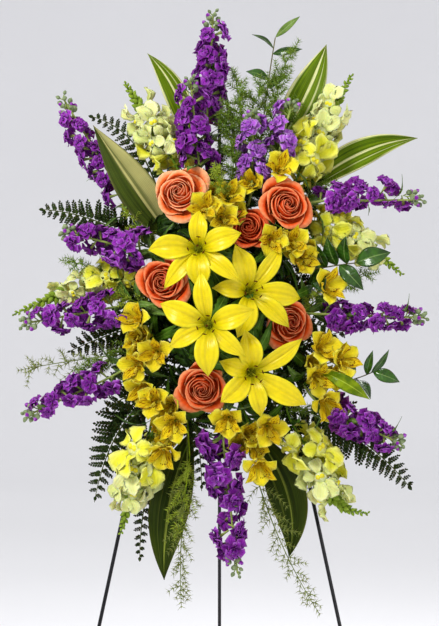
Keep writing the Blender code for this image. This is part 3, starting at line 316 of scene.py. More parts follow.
def leaf_looks():
    return {
        "stock_leaf": leaf_look("stock_leaf", 0x3E5C1E, 0x6C8A3C, 0x98A878),
        "fern": leaf_look("fern_leaflet", 0x1C280E, 0x2E4218, 0x506030, vein_count=4, roughness=0.5),
        "asparagus": leaf_look("asparagus_needle", 0x3C5E0A, 0x76981C, 0x8EAC44),
        "asparagus_pale": leaf_look("asparagus_needle_pale", 0x6E8E0A, 0xA6BE22, 0xC0D050),
        "asparagus_olive": leaf_look("asparagus_needle_olive", 0x56661E, 0x869440, 0x9AA456),
        "twig": leaf_look("twig_leaf", 0x1E380C, 0x345C14, 0x7C9650, vein_count=9, gloss=0.6, roughness=0.28),
        "twig_bright": leaf_look("twig_leaf_bright", 0x56742A, 0x7C964A, 0xA8B884, gloss=0.2, roughness=0.38),
        "bract": leaf_look("bract", 0x4C6404, 0x7C9008, 0xA4B43C, gloss=0.12),
        "rose_leaf": leaf_look("rose_leaf", 0x142606, 0x28440E, 0x4C6826, vein_count=10, gloss=0.15,
                               roughness=0.42),
        "leaf_green": leaf_look("narrow_leaf", 0x284408, 0x4A701A, 0x7C9C3C, vein_count=3, gloss=0.1),
        "leaf_wide": stripe_look("leaf_wide_striped", 0x202E04, 0x3E4E0E, 0xAEA868, [
            (0.0, 0.25), (0.06, 0.02), (0.42, 0.02), (0.47, 0.95), (0.51, 0.95), (0.55, 0.20), (0.64, 0.70),
            (0.93, 0.9), (1.0, 0.4)]),
        "leaf_striped": stripe_look("leaf_striped", 0x385202, 0x7A9410, 0xF2F2B0, [
            (0.0, 0.9), (0.06, 0.9), (0.09, 0.0), (0.46, 0.0), (0.49, 0.85), (0.54, 0.8), (0.57, 0.0),
            (0.72, 0.0), (0.75, 0.7), (0.78, 0.0), (0.93, 0.0), (0.96, 0.9)]),
        "leaf_dark": stripe_look("leaf_dark_striped", 0x182402, 0x36460A, 0x98A440, [
            (0.0, 0.5), (0.04, 0.05), (0.47, 0.0), (0.50, 0.75), (0.53, 0.0), (0.70, 0.0), (0.73, 0.25),
            (0.76, 0.0), (0.97, 0.05), (1.0, 0.5)]),
    }


def stem_looks():
    return {
        "stem": speckled_look("stem_green", 0x446614, 0x668624, 120.0, 0.45, 0.2),
        "stock_stem": speckled_look("stock_stem", 0x9CA85A, 0x7A8C44, 120.0, 0.55, 0.2),
        "fern_stem": speckled_look("fern_stem", 0x343E1A, 0x4E5420, 150.0, 0.5, 0.2),
        "bark": speckled_look("twig_bark", 0x4A4A22, 0x6A6234, 200.0, 0.6, 0.3),
        "lily_throat": speckled_look("lily_throat", 0x3E4A08, 0x74740C, 300.0, 0.5, 0.2),
        "filament": speckled_look("filament", 0x5A6408, 0x98941A, 200.0, 0.45, 0.1),
        "anther": speckled_look("anther", 0x2C1404, 0x5A2A06, 900.0, 0.8, 0.3),
        "stock_bud": speckled_look("stock_bud", 0x86946C, 0x5C6A48, 160.0, 0.6, 0.4),
    }


LOOKS = petal_looks() | leaf_looks() | stem_looks()


# Meshes: a bit is (points, face arrays, notes, look)


def unit(vectors):
    return vectors / np.maximum(np.linalg.norm(vectors, axis=-1, keepdims=True), 1e-9)


def bezier(points, t):
    """Points on the smooth curve that the control points pull, for one t or an array of them."""
    t = np.asarray(t, float).ravel()
    rows = np.repeat(np.array([list(p) for p in points], float)[:, None], len(t), axis=1)
    while len(rows) > 1:
        rows = rows[:-1] * (1 - t)[None, :, None] + rows[1:] * t[None, :, None]
    return rows[0]


def bezier_at(points, t):
    return Vector(bezier(points, t)[0])


def heading(points, t):
    return (bezier_at(points, min(t + 0.02, 1)) - bezier_at(points, max(t - 0.02, 0))).normalized()


def through(points, steps):
    """A smooth line through all the points, with `steps` points to each span."""
    knots = np.array([list(p) for p in points], float)
    knots = np.concatenate([[2 * knots[0] - knots[1]], knots, [2 * knots[-1] - knots[-2]]])
    t = np.linspace(0, 1, steps, endpoint=False)[:, None]
    spans = []
    for a, b, c, d in zip(knots, knots[1:], knots[2:], knots[3:]):
        spans.append(b + 0.5 * t * (c - a + t * (2 * a - 5 * b + 4 * c - d + t * (3 * (b - c) + d - a))))
    return np.concatenate([*spans, knots[-2:-1]])


def swell(t, peak, power=1.0):
    """A width that grows from nothing to 1 at the peak and back to nothing."""
    t = np.clip(t, 0.0, 1.0)
    return np.clip(np.sin(math.pi * t ** (math.log(0.5) / math.log(peak))), 0, 1) ** power


def grid_faces(rows, columns):
    """The quads between rings of points that run row by row."""
    row, column = np.meshgrid(np.arange(rows - 1), np.arange(columns), indexing="ij")
    here = row * columns + column
    beside = row * columns + (column + 1) % columns
    return np.stack([here, beside, beside + columns, here + columns], -1).reshape(-1, 4)


def strip_cap(columns):
    """The faces that close an end of a sheet, whose ring runs across its front and back across its back."""
    left = np.arange(1, columns - 2)
    quads = np.stack([left, left + 1, 2 * columns - 3 - left, 2 * columns - 2 - left], -1)
    return [quads, np.array([(0, 1, 2 * columns - 3), (columns - 2, columns - 1, columns)])]


def loft(rings, across, tone, look, cap=None):
    """A closed skin over rings of points, with the notes of how far across and along each point is."""
    rows, count = rings.shape[:2]
    cap = cap or [np.arange(count)[None]]
    caps = [faces[:, ::-1] for faces in cap] + [faces + (rows - 1) * count for faces in cap]
    notes = np.empty((rows, count, 3))
    notes[..., 0] = across
    notes[..., 1] = np.linspace(0, 1, rows)[:, None]
    notes[..., 2] = tone
    return rings.reshape(-1, 3), [grid_faces(rows, count), *caps], notes.reshape(-1, 3), look


def turned_shape(profile, look, sides=12, tone=0.5):
    """A closed turned shape round Z from (radius, height) pairs."""
    turns = np.linspace(0, math.tau, sides, endpoint=False)
    radii = np.array([radius for radius, _ in profile])[:, None]
    heights = np.array([height for _, height in profile])[:, None]
    rings = np.stack([radii * np.cos(turns), radii * np.sin(turns), heights + 0 * turns], -1)
    return loft(rings, np.abs(np.linspace(-1, 1, sides)), tone, look)


def sheet(surface, look, thickness, tone=0.5):
    """A thin shell round a grid of points whose rows run from root to tip: its two faces meet at the rims."""
    normal = unit(np.cross(np.gradient(surface, axis=1), np.gradient(surface, axis=0)))
    front = surface + normal * thickness / 2
    back = surface - normal * thickness / 2
    across = np.linspace(0, 1, surface.shape[1])
    rings = np.concatenate([front, back[:, -2:0:-1]], axis=1)
    return loft(rings, np.concatenate([across, across[-2:0:-1]]), tone, look, strip_cap(surface.shape[1]))


def tube(line, radii, look, sides=8, tone=0.5):
    """A closed round bar along a line, with a radius at each point."""
    line = np.array([list(p) for p in line], float)
    radii = np.broadcast_to(np.asarray(radii, float), (len(line),))
    along = unit(np.gradient(line, axis=0))
    side = np.array(Vector(along[0]).orthogonal().normalized())
    sides_at = []
    for step in along:
        side = side - step * side.dot(step)
        side = side / np.linalg.norm(side)
        sides_at.append(side)
    sides_at = np.array(sides_at)
    others = np.cross(along, sides_at)
    turns = np.linspace(0, math.tau, sides, endpoint=False)
    ring = np.cos(turns)[None, :, None] * sides_at[:, None] + np.sin(turns)[None, :, None] * others[:, None]
    rings = line[:, None] + ring * radii[:, None, None]
    return loft(rings, np.abs(np.linspace(-1, 1, sides)), tone, look)


def bent_bar(points, rows, start, end, look, sides=6):
    """A round bar along the curve that the control points pull, with its radius in mm at either end."""
    return tube(bezier(points, np.linspace(0, 1, rows)), np.linspace(start, end, rows) * MM, look, sides)


def pod(root, tip, radius, look, sides=8, rows=7, tone=0.5):
    """A round bud, bead or anther from root to tip."""
    t = np.linspace(0.015, 0.985, rows)
    root, tip = np.array(root, float), np.array(tip, float)
    return tube(root + (tip - root) * t[:, None], radius * swell(t, 0.45, 0.8), look, sides, tone)


def waves(half, v, u, size, power, pace, phase, slant):
    """How far a waved blade is lifted at each row and column, most at its edges."""
    return size * half * np.abs(u) ** power * np.sin(pace * v + phase + slant * u)


def blade_grid(rows, columns):
    """How far along a blade its rows are, 0 to 1 in a column, and how far across its columns are, -1 to 1."""
    return np.linspace(0, 1, rows)[:, None], np.linspace(-1, 1, columns)


def ribbon(line, half, face, lift):
    """A blade along a line: half its width at each row, and how far each point is lifted towards `face`."""
    along = unit(np.gradient(line, axis=0))
    side = unit(np.cross(along, np.array(face, float)))
    normal = np.cross(side, along)
    across = np.linspace(-1, 1, lift.shape[1])
    spread = side[:, None] * (half * across)[..., None]
    return line[:, None] + spread + normal[:, None] * lift[..., None]


def leaf(length, width, look, peak=0.45, fold=0.15, curl=0.15, ripple=0.0, rows=9, columns=5, power=1.0,
         thickness=0.5 * MM, tone=0.5, phase=0.0):
    """A leaf or petal that grows along +Y from the origin and faces +Z."""
    v, u = blade_grid(rows, columns)
    line = np.hstack([0 * v, length * v, length * (0.10 * np.sin(math.pi * v) - curl * v * v)])
    half = np.maximum(0.5 * width * swell(v, peak, power), 0.15 * MM)
    lift = fold * half * np.abs(u) + waves(half, v, u, ripple, 1.5, 9, phase, 2.5)
    return sheet(ribbon(line, half, (0, 0, 1), lift), look, thickness, tone)


class Piece:
    """The bits of one piece, gathered before they become one object."""

    def __init__(self):
        self.bits = []

    def add(self, bits, place=None, tone=0.0):
        """Adds a bit or a list of bits, moved by a matrix and shifted in tone."""
        for points, faces, notes, look in bits if isinstance(bits, list) else [bits]:
            if place is not None:
                matrix = np.array(place)
                points = points @ matrix[:3, :3].T + matrix[:3, 3]
            self.bits.append((points, faces, notes + (0, 0, tone), look))

    def build(self, name, node):
        """One smooth object of all the bits, which stands for its CAD node."""
        points = np.concatenate([bit[0] for bit in self.bits])
        notes = np.concatenate([bit[2] for bit in self.bits])
        looks = list(dict.fromkeys(bit[3] for bit in self.bits))
        corners, totals, indices = [], [], []
        first = 0
        for bit_points, faces, _, look in self.bits:
            for block in faces:
                corners.append(block.ravel() + first)
                totals.append(np.full(len(block), block.shape[1]))
                indices.append(np.full(len(block), looks.index(look)))
            first += len(bit_points)
        corners, totals, indices = (np.concatenate(a).astype(np.int32) for a in (corners, totals, indices))
        starts = np.concatenate([[0], np.cumsum(totals)[:-1]]).astype(np.int32)
        mesh = bpy.data.meshes.new(name)
        mesh.vertices.add(len(points))
        mesh.vertices.foreach_set("co", points.ravel())
        mesh.loops.add(len(corners))
        mesh.loops.foreach_set("vertex_index", corners)
        mesh.polygons.add(len(totals))
        mesh.polygons.foreach_set("loop_start", starts)
        mesh.polygons.foreach_set("material_index", indices)
        mesh.update(calc_edges=True)
        mesh.shade_smooth()
        for look in looks:
            mesh.materials.append(LOOKS[look])
        colours = np.ones((len(points), 4))
        colours[:, :3] = np.clip(notes, 0, 1)
        note = mesh.attributes.new("note", "FLOAT_COLOR", "POINT")
        note.data.foreach_set("color", colours.ravel())
        item = bpy.data.objects.new(name, mesh)
        bpy.context.scene.collection.objects.link(item)
        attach(item, "root")
        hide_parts(node)


# Frames


def axes_at(point, right, up, look):
    """The frame at a point whose X, Y and Z run right, up and where it looks."""
    return Matrix.Translation(point) @ Matrix((right, up, look)).transposed().to_4x4()


def facing(point, yaw, pitch, roll=0.0):
    """The frame of a bloom: Z is where it looks, turned right by yaw and up by pitch, in degrees."""
    yaw, pitch, roll = math.radians(yaw), math.radians(pitch), math.radians(roll)
    look = Vector((math.sin(yaw) * math.cos(pitch), -math.cos(yaw) * math.cos(pitch), math.sin(pitch)))
    right = Vector((math.cos(yaw), math.sin(yaw), 0))
    return axes_at(point, right, look.cross(right), look) @ Matrix.Rotation(roll, 4, "Z")


def turned(place, degrees):
    return place @ Matrix.Rotation(math.radians(degrees), 4, "Z")


def tilted(place, degrees):
    return place @ Matrix.Rotation(math.radians(degrees), 4, "X")


def outward_frame(line, t, turn, lean):
    """The frame of a floret on a spike: Z outward from the stem and a little up it, Y up the stem."""
    along = heading(line, t)
    away = Matrix.Rotation(turn, 3, along) @ along.orthogonal().normalized()
    look = (away + along * lean).normalized()
    right = along.cross(look).normalized()
    return axes_at(bezier_at(line, t), right, look.cross(right), look)


def growing(root, direction, face):
    """The frame of a leaf: Y is where it grows and Z where its upper side faces."""
    direction = Vector(direction).normalized()
    right = direction.cross(Vector(face))
    if right.length < 1e-3:
        right = direction.orthogonal()
    right.normalize()
    return axes_at(root, right, direction, right.cross(direction))


def sized(place, scale):
    return place @ Matrix.Diagonal((scale, scale, scale, 1))


# The roses and alstroemerias, whose faces the leaves keep clear of

# Each rose's place, yaw and pitch in degrees, radius in cm, look and seed
ROSES = {
    "rose_top_left": ((-7, 18.3, 15), -14, 14, 4.4, "rose_peach", 11),
    "rose_top_right": ((11.6, 16.2, 15), 16, 10, 4.3, "rose", 12),
    "rose_middle": ((4.8, 12.5, 14.6), 2, 12, 3.5, "rose_red", 13),
    "rose_left": ((-9.8, 3.2, 14.5), -18, 0, 4.2, "rose", 14),
    "rose_right": ((12.2, -3.8, 13.5), 20, -6, 4, "rose", 15),
    "rose_bottom": ((-3, -14.8, 16), -6, -14, 4.2, "rose", 16),
}

# Where each stem forks, its blooms (place, yaw, pitch and roll in degrees, radius in cm) and its seed
ALSTROEMERIAS = {
    "alstroemeria_top": ((-1.2, 14.6, 9.5), [
        ((-2.6, 15.6, 17.5), -8, 10, 10, 3),
        ((0.6, 13.6, 16.8), 8, 0, 40, 3),
        ((1.8, 17.9, 14.3), 10, 20, 20, 2.8),
        ((10.3, 22.6, 13), 8, 18, 10, 2.9),
    ], 51),
    "alstroemeria_top_right": ((9.6, 9.2, 8.5), [
        ((8.8, 9.9, 16.2), 8, -6, 0, 2.7),
        ((12.4, 9.8, 14.6), 16, 4, 35, 2.8),
        ((14.2, 7, 13.5), 26, -4, 50, 3),
    ], 52),
    "alstroemeria_right": ((16, 2.6, 8), [((18.6, 2.6, 12.5), 30, 8, 15, 3.2)], 53),
    "alstroemeria_left": ((-11.4, -6.6, 8), [
        ((-14.6, -2.6, 12.5), -26, 16, 0, 3),
        ((-10.8, -8.6, 15), -10, -4, 25, 3.1),
        ((-14.4, -11, 13), -26, -10, 50, 3),
        ((-13.4, -15, 12.4), -22, -22, 30, 2.9),
    ], 54),
    "alstroemeria_bottom_left": ((-8.4, -19, 8.5), [
        ((-11.2, -16.6, 14), -16, 4, 20, 3),
        ((-7.8, -20.8, 15), -8, -16, 45, 3.2),
        ((-9.4, -26, 13.5), -10, -34, 10, 3.1),
    ], 55),
    "alstroemeria_bottom": ((5, -21, 9.5), [
        ((1.2, -20, 16), -6, -14, 30, 3),
        ((8.4, -21.4, 15.5), 10, -12, 0, 3.2),
        ((6.8, -28.2, 14), 6, -30, 35, 3.2),
    ], 56),
    "alstroemeria_right_low": ((15.4, -11.6, 7.5), [
        ((17.6, -7.6, 13), 22, 10, 10, 3),
        ((21.4, -9.8, 12), 34, 6, 40, 3),
        ((16.8, -13, 13.5), 18, -10, 25, 3.1),
        ((18.2, -17.6, 12.4), 24, -26, 55, 3.1),
    ], 57),
}


def bloom_faces():
    """The middle and the radius of every rose and alstroemeria bloom."""
    faces = [(spot(*details[0]), details[3] * CM) for details in ROSES.values()]
    for _, blooms, _ in ALSTROEMERIAS.values():
        faces += [(spot(*bloom[0]), bloom[4] * CM) for bloom in blooms]
    return faces


BLOOM_FACES = bloom_faces()


def meets_bloom(place, length):
    """Whether the outer half of a leaf would come up through the face of a bloom."""
    points = [place @ Vector((0, share * length, 0)) for share in (0.5, 0.75, 1.0)]
    return any((point - centre).length < radius for point in points for centre, radius in BLOOM_FACES)


# Stems


def stem_bends(node):
    """The bends of a CAD stem, read ring by ring from its end in the foam."""
    bm = bmesh.new()
    bm.from_mesh(frame["nodes"][node].data)
    bmesh.ops.remove_doubles(bm, verts=bm.verts, dist=0.02 * MM)
    deep = min(bm.verts, key=lambda v: (v.co - HEART).length)
    ring = {v for v in bm.verts if (v.co - deep.co).length < 9 * MM}
    seen = set(ring)
    bends = []
    while len(ring) in (4, 5) and len(bends) < 4:
        bends.append(sum((v.co for v in ring), Vector()) / len(ring))
        ring = {e.other_vert(v) for v in ring for e in v.link_edges} - seen
        seen |= ring
    bm.free()
    return bends


def draw_stem(piece, node, onward, radius, look, end_radius=None):
    """A smooth stem from its hole in the foam through the CAD stem's bends and on through more points."""
    line = through([*stem_bends(node), *onward], 7)
    end_radius = radius if end_radius is None else end_radius
    radii = np.linspace(radius, end_radius, len(line))
    piece.add(tube(line, radii, look, sides=8))
    return line


def beside_stem(line, share, turn, forward):
    """The frame of a leaf a share of the way up a stem, turned round it and leant up it by `forward`."""
    knot = min(int(share * (len(line) - 1)), len(line) - 2)
    root, ahead = Vector(line[knot]), Vector(line[knot + 1])
    along = (ahead - root).normalized()
    away = Matrix.Rotation(turn, 3, along) @ along.orthogonal().normalized()
    return growing(root, away + along * forward, along - away * forward)


def stem_leaves(piece, line, look, draw, span, count, length, width, lean=(0.9, 0.3), ripple=0.0):
    """Leaves in a spiral along a span of a stem; `lean` is how far the lowest and highest point up it."""
    for index in range(count):
        step = (index + 0.5) / count
        turn = index * GOLDEN_TURN + draw.uniform(-0.4, 0.4)
        forward = lean[0] + (lean[1] - lean[0]) * step
        place = beside_stem(line, span[0] + (span[1] - span[0]) * step, turn, forward)
        size = draw.uniform(0.8, 1.15)
        tone = draw.uniform(0.2, 0.8)
        if not meets_bloom(place, length * size):
            piece.add(leaf(length * size, width * size, look, curl=0.3, ripple=ripple, tone=tone), place)


# Lilies

LILY_THROAT_DEPTH = 3.0 * CM
LILY_INNER_WIDTH = 4.0 * CM
LILY_OUTER_WIDTH = 3.1 * CM
LILY_PEAK = 0.54  # where a tepal is widest, as a share of its length
LILY_ROWS = 30
LILY_COLUMNS = 15
LILY_STAMENS = 6
STAMEN_LENGTH = 4.3 * CM
ANTHER_LENGTH = 8 * MM


def lily_tepal(reach, inner, draw):
    """A tepal with a grooved midrib and waved edges, in the frame of its own clock angle."""
    drop = 0.0 if inner else -0.25 * CM
    width = LILY_INNER_WIDTH if inner else LILY_OUTER_WIDTH
    control = [
        (0.3 * CM, 0, -LILY_THROAT_DEPTH),
        (0.25 * reach, 0, 0.6 * CM + drop),
        (0.70 * reach, 0, 1.1 * CM + drop),
        (reach, 0, (-1.6 + draw.uniform(-1.0, 0.7)) * CM + drop),
    ]
    v, u = blade_grid(LILY_ROWS, LILY_COLUMNS)
    line = bezier(control, v)
    line[:, 1:2] += draw.uniform(-0.45, 0.45) * CM * v * v
    half = np.maximum(0.5 * width * swell(v, LILY_PEAK, np.where(v < LILY_PEAK, 0.85, 1.15)), 0.25 * MM)
    groove = -1.8 * MM * np.exp(-(u / 0.10) ** 2) * np.sin(math.pi * v)
    ridges = 0.7 * MM * np.exp(-((np.abs(u) - 0.22) / 0.12) ** 2) * np.sin(math.pi * v)
    fold = 0.24 * half * np.abs(u) ** 1.3
    waved = waves(half, v, u, 0.20, 2.2, 9, draw.uniform(0, 6), 2) * v
    roll = -0.30 * half * np.abs(u) ** 4 * np.clip(v - 0.45, 0, 1)
    twist = draw.uniform(-0.34, 0.34) * half * u * v
    lift = groove + ridges + fold + waved + roll + twist
    return sheet(ribbon(line, half, (0, 0, 1), lift), "lily", 0.7 * MM, draw.uniform(0.55, 1.0))


def lily_stamens(piece, bloom):
    """Spreading stamens with crosswise anthers, and the style between them."""
    for index in range(LILY_STAMENS):
        clock = math.radians(360 * index / LILY_STAMENS + 20)
        out = np.array((math.cos(clock), math.sin(clock), 0))
        control = [
            out * 1.5 * MM - (0, 0, LILY_THROAT_DEPTH),
            out * 4 * MM - (0, 0, 0.3 * LILY_THROAT_DEPTH),
            out * 15 * MM + (0, 0, STAMEN_LENGTH - LILY_THROAT_DEPTH),
        ]
        piece.add(bent_bar(control, 10, 0.9, 0.5, "filament"), bloom)
        reach = np.array((-out[1], out[0], 0.0)) * 0.5 * ANTHER_LENGTH
        piece.add(pod(control[-1] - reach, control[-1] + reach, 1.2 * MM, "anther", 6), bloom)
    style = [(0, 0, -LILY_THROAT_DEPTH), (0.5 * MM, 1 * MM, 0), (2 * MM, -1 * MM, 2.2 * CM)]
    piece.add(bent_bar(style, 8, 1.1, 1.1, "filament"), bloom)
    piece.add(pod((2 * MM, -1 * MM, 2.1 * CM), (2 * MM, -1 * MM, 2.6 * CM), 2.1 * MM, "anther", 6), bloom)


def lily(name, at, yaw, pitch, inner_tepals, outer_tepals, seed):
    """A lily whose tepals are given as their clock angles in degrees and their reach in cm."""
    draw = np.random.default_rng(seed)
    bloom = facing(spot(*at), yaw, pitch)
    base = bloom @ Vector((0, 0, -LILY_THROAT_DEPTH - 1.2 * CM))
    piece = Piece()
    line = draw_stem(piece, name, [base], 2.8 * MM, "stem")
    throat = [(0, 0, -LILY_THROAT_DEPTH - 1.4 * CM), (0, 0, -LILY_THROAT_DEPTH + 1.6 * CM)]
    piece.add(pod(*throat, 1.1 * CM, "lily_throat", 12), bloom)
    for tepals, inner in ((inner_tepals, True), (outer_tepals, False)):
        for clock, reach in tepals.items():
            piece.add(lily_tepal(reach * CM, inner, draw), turned(bloom, clock))
    lily_stamens(piece, bloom)
    stem_leaves(piece, line, "leaf_green", draw, span=(0.30, 0.97), count=26, length=9.5 * CM,
                width=2.1 * CM, lean=(0.8, -0.5), ripple=0.15)
    piece.build(name + "_bloom", name)


# Roses

ROSE_DEPTH = 4.4 * CM
ROSE_PETALS = 22
ROSE_SEPALS = 5
ROSE_LEAVES = 9
ROSE_LEAFLET_LENGTH = 4.2 * CM
ROSE_LEAFLET_WIDTH = 2.5 * CM

# How far up its stalk each leaflet stands, and its turn in degrees
ROSE_LEAFLETS = ((1.0, 0), (0.95, 62), (0.95, -62), (0.55, 68), (0.55, -68))


def rose_petal(index, radius, look, draw):
    """A cupped petal: inner ones wrap the bud, outer ones open and roll their rims back to a point."""
    share = index / (ROSE_PETALS - 1)
    opened = share ** 1.4
    v, u = blade_grid(12, 13)
    belly = radius * (0.10 + 0.78 * share)
    widening = 0.35 + 0.65 * np.sin(math.pi * 0.5 * np.minimum(v / 0.55, 1))
    half_span = math.radians(118 - 58 * share ** 0.6) * widening
    climb = v * (1 - 0.34 * np.abs(u) ** 2.6)
    height = -ROSE_DEPTH * (1 - 0.08 * share) * (1 - climb) ** 1.15 - 0.42 * radius * opened * climb
    bulge = np.sin(math.pi * 0.5 * np.minimum(climb / 0.62, 1)) ** 0.75
    lean_in = 1 - (0.40 - 0.50 * opened) * np.clip((climb - 0.55) / 0.45, 0, 1) ** 1.5
    curl = np.clip((climb - 0.76) / 0.24, 0, 1) ** 1.6 * radius * opened
    side_roll = 0.25 + 0.75 * np.abs(u) ** 1.2
    height = height - 0.24 * curl * side_roll
    wave = np.sin(3.4 * u + draw.uniform(0, 6)) + 0.6 * np.sin(7.0 * u + draw.uniform(0, 6))
    reach = belly * bulge * lean_in + 0.5 * MM + curl * (0.30 - 0.10 * np.abs(u))
    reach = reach + radius * (0.07 * u * np.minimum(climb * 2, 1) + 0.022 * wave * climb * (0.4 + share))
    angle = index * GOLDEN_TURN + half_span * u + draw.uniform(-0.25, 0.25)
    surface = np.stack([reach * np.cos(angle), reach * np.sin(angle), height + 0 * angle], -1)
    # Inner petals get low tones, which petal_look paints darker: painted shade deep in the bloom, with a
    # little random spread.
    tone = 0.15 + 0.85 * share ** 0.7 + draw.uniform(-0.10, 0.10)
    return sheet(surface, look, 0.6 * MM, tone)


def rose(name, at, yaw, pitch, radius, look, seed):
    """A rose of wrapped petals over its sepals, on a leafy stem."""
    draw = np.random.default_rng(seed)
    bloom = facing(spot(*at), yaw, pitch, draw.uniform(0, 360))
    base = bloom @ Vector((0, 0, -ROSE_DEPTH - 0.6 * CM))
    piece = Piece()
    line = draw_stem(piece, name, [base], 2.6 * MM, "stem")
    hip = [(0, 0, -ROSE_DEPTH - 0.9 * CM), (0, 0, -ROSE_DEPTH + 1.2 * CM)]
    piece.add(pod(*hip, 0.95 * CM, "stem", 10), bloom)
    # The core gets a low tone too: painted shade at the heart of the rose.
    piece.add(pod((0, 0, -ROSE_DEPTH), (0, 0, -0.25 * CM), 0.42 * CM, look, 10, tone=0.2), bloom)
    for index in range(ROSE_PETALS):
        piece.add(rose_petal(index, radius * CM, look, draw), bloom)
    for index in range(ROSE_SEPALS):
        sepal = turned(bloom, 360 * index / ROSE_SEPALS)
        sepal = turned(sepal @ Matrix.Translation((0.6 * CM, 0, -ROSE_DEPTH - 0.2 * CM)), -90)
        piece.add(leaf(3.2 * CM, 0.9 * CM, "rose_leaf", peak=0.25, curl=0.3), tilted(sepal, 20))
    rose_leaves(piece, line, draw)
    piece.build(name + "_bloom", name)


def rose_leaves(piece, line, draw):
    """Leaves of five leaflets on a stalk, up the stem."""
    for index in range(ROSE_LEAVES):
        share = 0.35 + 0.6 * index / (ROSE_LEAVES - 1)
        place = beside_stem(line, share, index * GOLDEN_TURN, 0.6 - share)
        length = draw.uniform(6.0, 8.0) * CM
        stalk = [(0, 0, 0), (0, 0.5 * length, 0.1 * length), (0, 0.7 * length, 0.05 * length)]
        piece.add(bent_bar(stalk, 6, 0.9, 0.9, "stem"), place)
        for stalk_share, angle in ROSE_LEAFLETS:
            at = turned(place @ Matrix.Translation(bezier_at(stalk, stalk_share)), angle)
            bit = leaf(ROSE_LEAFLET_LENGTH, ROSE_LEAFLET_WIDTH, "rose_leaf", peak=0.42, fold=0.2, curl=0.2,
                       ripple=0.08, tone=draw.uniform(0.2, 0.8))
            if not meets_bloom(at, ROSE_LEAFLET_LENGTH):
                piece.add(bit, at)


# Stock

# Petals in a tier, their length and width in mm, and how far they lean out in degrees
STOCK_TIERS = ((6, 17, 16, 84), (5, 15, 14, 62), (4, 12, 12, 40), (3, 9, 10, 18))
STOCK_STALK = 17 * MM
STOCK_KINDS = 4  # different florets on one spike
STOCK_FLORET_END = 0.80  # where the florets end and where the buds start, as shares of the spike
STOCK_BUD_START = 0.82
STOCK_BUDS = 11
STOCK_COLOURED_BUDS = 5
STOCK_MISSING = 0.15  # share of florets that haven't opened in the outer part of a spike


def stock_floret(look, draw):
    """A double floret on its stalk: four tiers of ruffled petals in a dome."""
    bits = Piece()
    stalk = [(0, 0, 0), (0, 0, 8 * MM), (0, 0, STOCK_STALK)]
    bits.add(tube(stalk, [1.0 * MM, 1.6 * MM, 2.8 * MM], "stock_stem", 6))
    for count, length, width, tilt in STOCK_TIERS:
        for index in range(count):
            turn = math.tau * (index + draw.uniform(-0.2, 0.2)) / count + tilt
            place = Matrix.Translation((0, 0, STOCK_STALK)) @ Matrix.Rotation(turn, 4, "Z")
            place = tilted(place, 90 - tilt + draw.uniform(-14, 14))
            bit = leaf(length * MM * draw.uniform(0.9, 1.1), width * MM, look, peak=0.70, fold=0.12,
                       curl=0.22, ripple=0.6, rows=5, columns=4, power=0.65, tone=draw.uniform(0.1, 1.0),
                       phase=draw.uniform(0, 6))
            bits.add(bit, place)
    return bits.bits


def stock_spike(piece, line, florets, look, size, templates, draw):
    """Loose florets in a spiral up the stem, then buds at its tip."""
    for index in range(florets):
        t = STOCK_FLORET_END * (index + draw.uniform(-0.3, 0.3)) / (florets - 1)
        if t > 0.4 and draw.random() < STOCK_MISSING:
            continue
        place = outward_frame(line, max(t, 0.0), index * GOLDEN_TURN + draw.uniform(-0.3, 0.3), 0.45)
        scale = size * (1.18 - 0.32 * t) * draw.uniform(0.82, 1.2)
        place = sized(place, scale) @ Matrix.Rotation(draw.uniform(0, 6.28), 4, "Z")
        piece.add(templates[index % len(templates)], place, tone=draw.uniform(-0.3, 0.15))
    for index in range(STOCK_BUDS):
        t = STOCK_BUD_START + (1 - STOCK_BUD_START) * index / (STOCK_BUDS - 1)
        place = outward_frame(line, t, index * GOLDEN_TURN, 1.0)
        length = (2.5 - 0.11 * index) * CM * draw.uniform(0.85, 1.1)
        piece.add(tube([(0, 0, 0), (0, 0, 0.5 * length)], 1.0 * MM, "stock_stem", 5), place)
        piece.add(pod((0, 0, 0.42 * length), (0, 0, length), 0.23 * length, "stock_bud", 8, 6), place)
        if index < STOCK_COLOURED_BUDS:
            petals = pod((0, 0, 0.78 * length), (0, 0, 1.12 * length), 0.17 * length, look, 7, 6, 0.4)
            piece.add(petals, place)


def stock(name, spikes, look, seed, size=1.0, bow=(0.0, 0.0)):
    """Stock on one stem; `bow` is how far the middle of its spikes is drawn right and up, in cm."""
    draw = np.random.default_rng(seed)
    bow = Vector((bow[0], 0, bow[1])) * CM
    templates = [stock_floret(look, draw) for _ in range(STOCK_KINDS)]
    piece = Piece()
    fork, head = spots(spikes[0][:2])
    stem = draw_stem(piece, name, [fork, fork.lerp(head, 0.5), head], 2.8 * MM, "stock_stem", 1.6 * MM)
    for foot, tip, florets in spikes:
        foot, tip = spots((foot, tip))
        line = [foot, foot.lerp(tip, 0.5) + bow, tip]
        stock_spike(piece, line, florets, look, size, templates, draw)
        if foot != fork:
            branch = [fork - heading([fork, head], 0) * CM, *line]
            piece.add(tube(through(branch, 5), 1.8 * MM, "stock_stem"))
    stem_leaves(piece, stem, "stock_leaf", draw, span=(0.25, 0.62), count=13, length=7 * CM,
                width=1.7 * CM, ripple=0.2)
    stem_leaves(piece, stem, "stock_leaf", draw, span=(0.62, 0.95), count=4, length=4 * CM,
                width=1.0 * CM, lean=(0.8, 0.8), ripple=0.2)
    piece.build(name + "_spikes", name)


# Snapdragons

# Each lobe's clock angle, its length and width in mm and how far it leans out, in degrees
SNAPDRAGON_LOBES = (
    (62, 20, 18, 32),
    (118, 20, 18, 32),
    (205, 13, 15, 96),
    (270, 15, 15, 104),
    (335, 13, 15, 96),
)
SNAPDRAGON_BUDS = 30
SNAPDRAGON_FLORET_END = 0.66  # where the florets end and where the buds start, as shares of the spike
SNAPDRAGON_BUD_START = 0.58


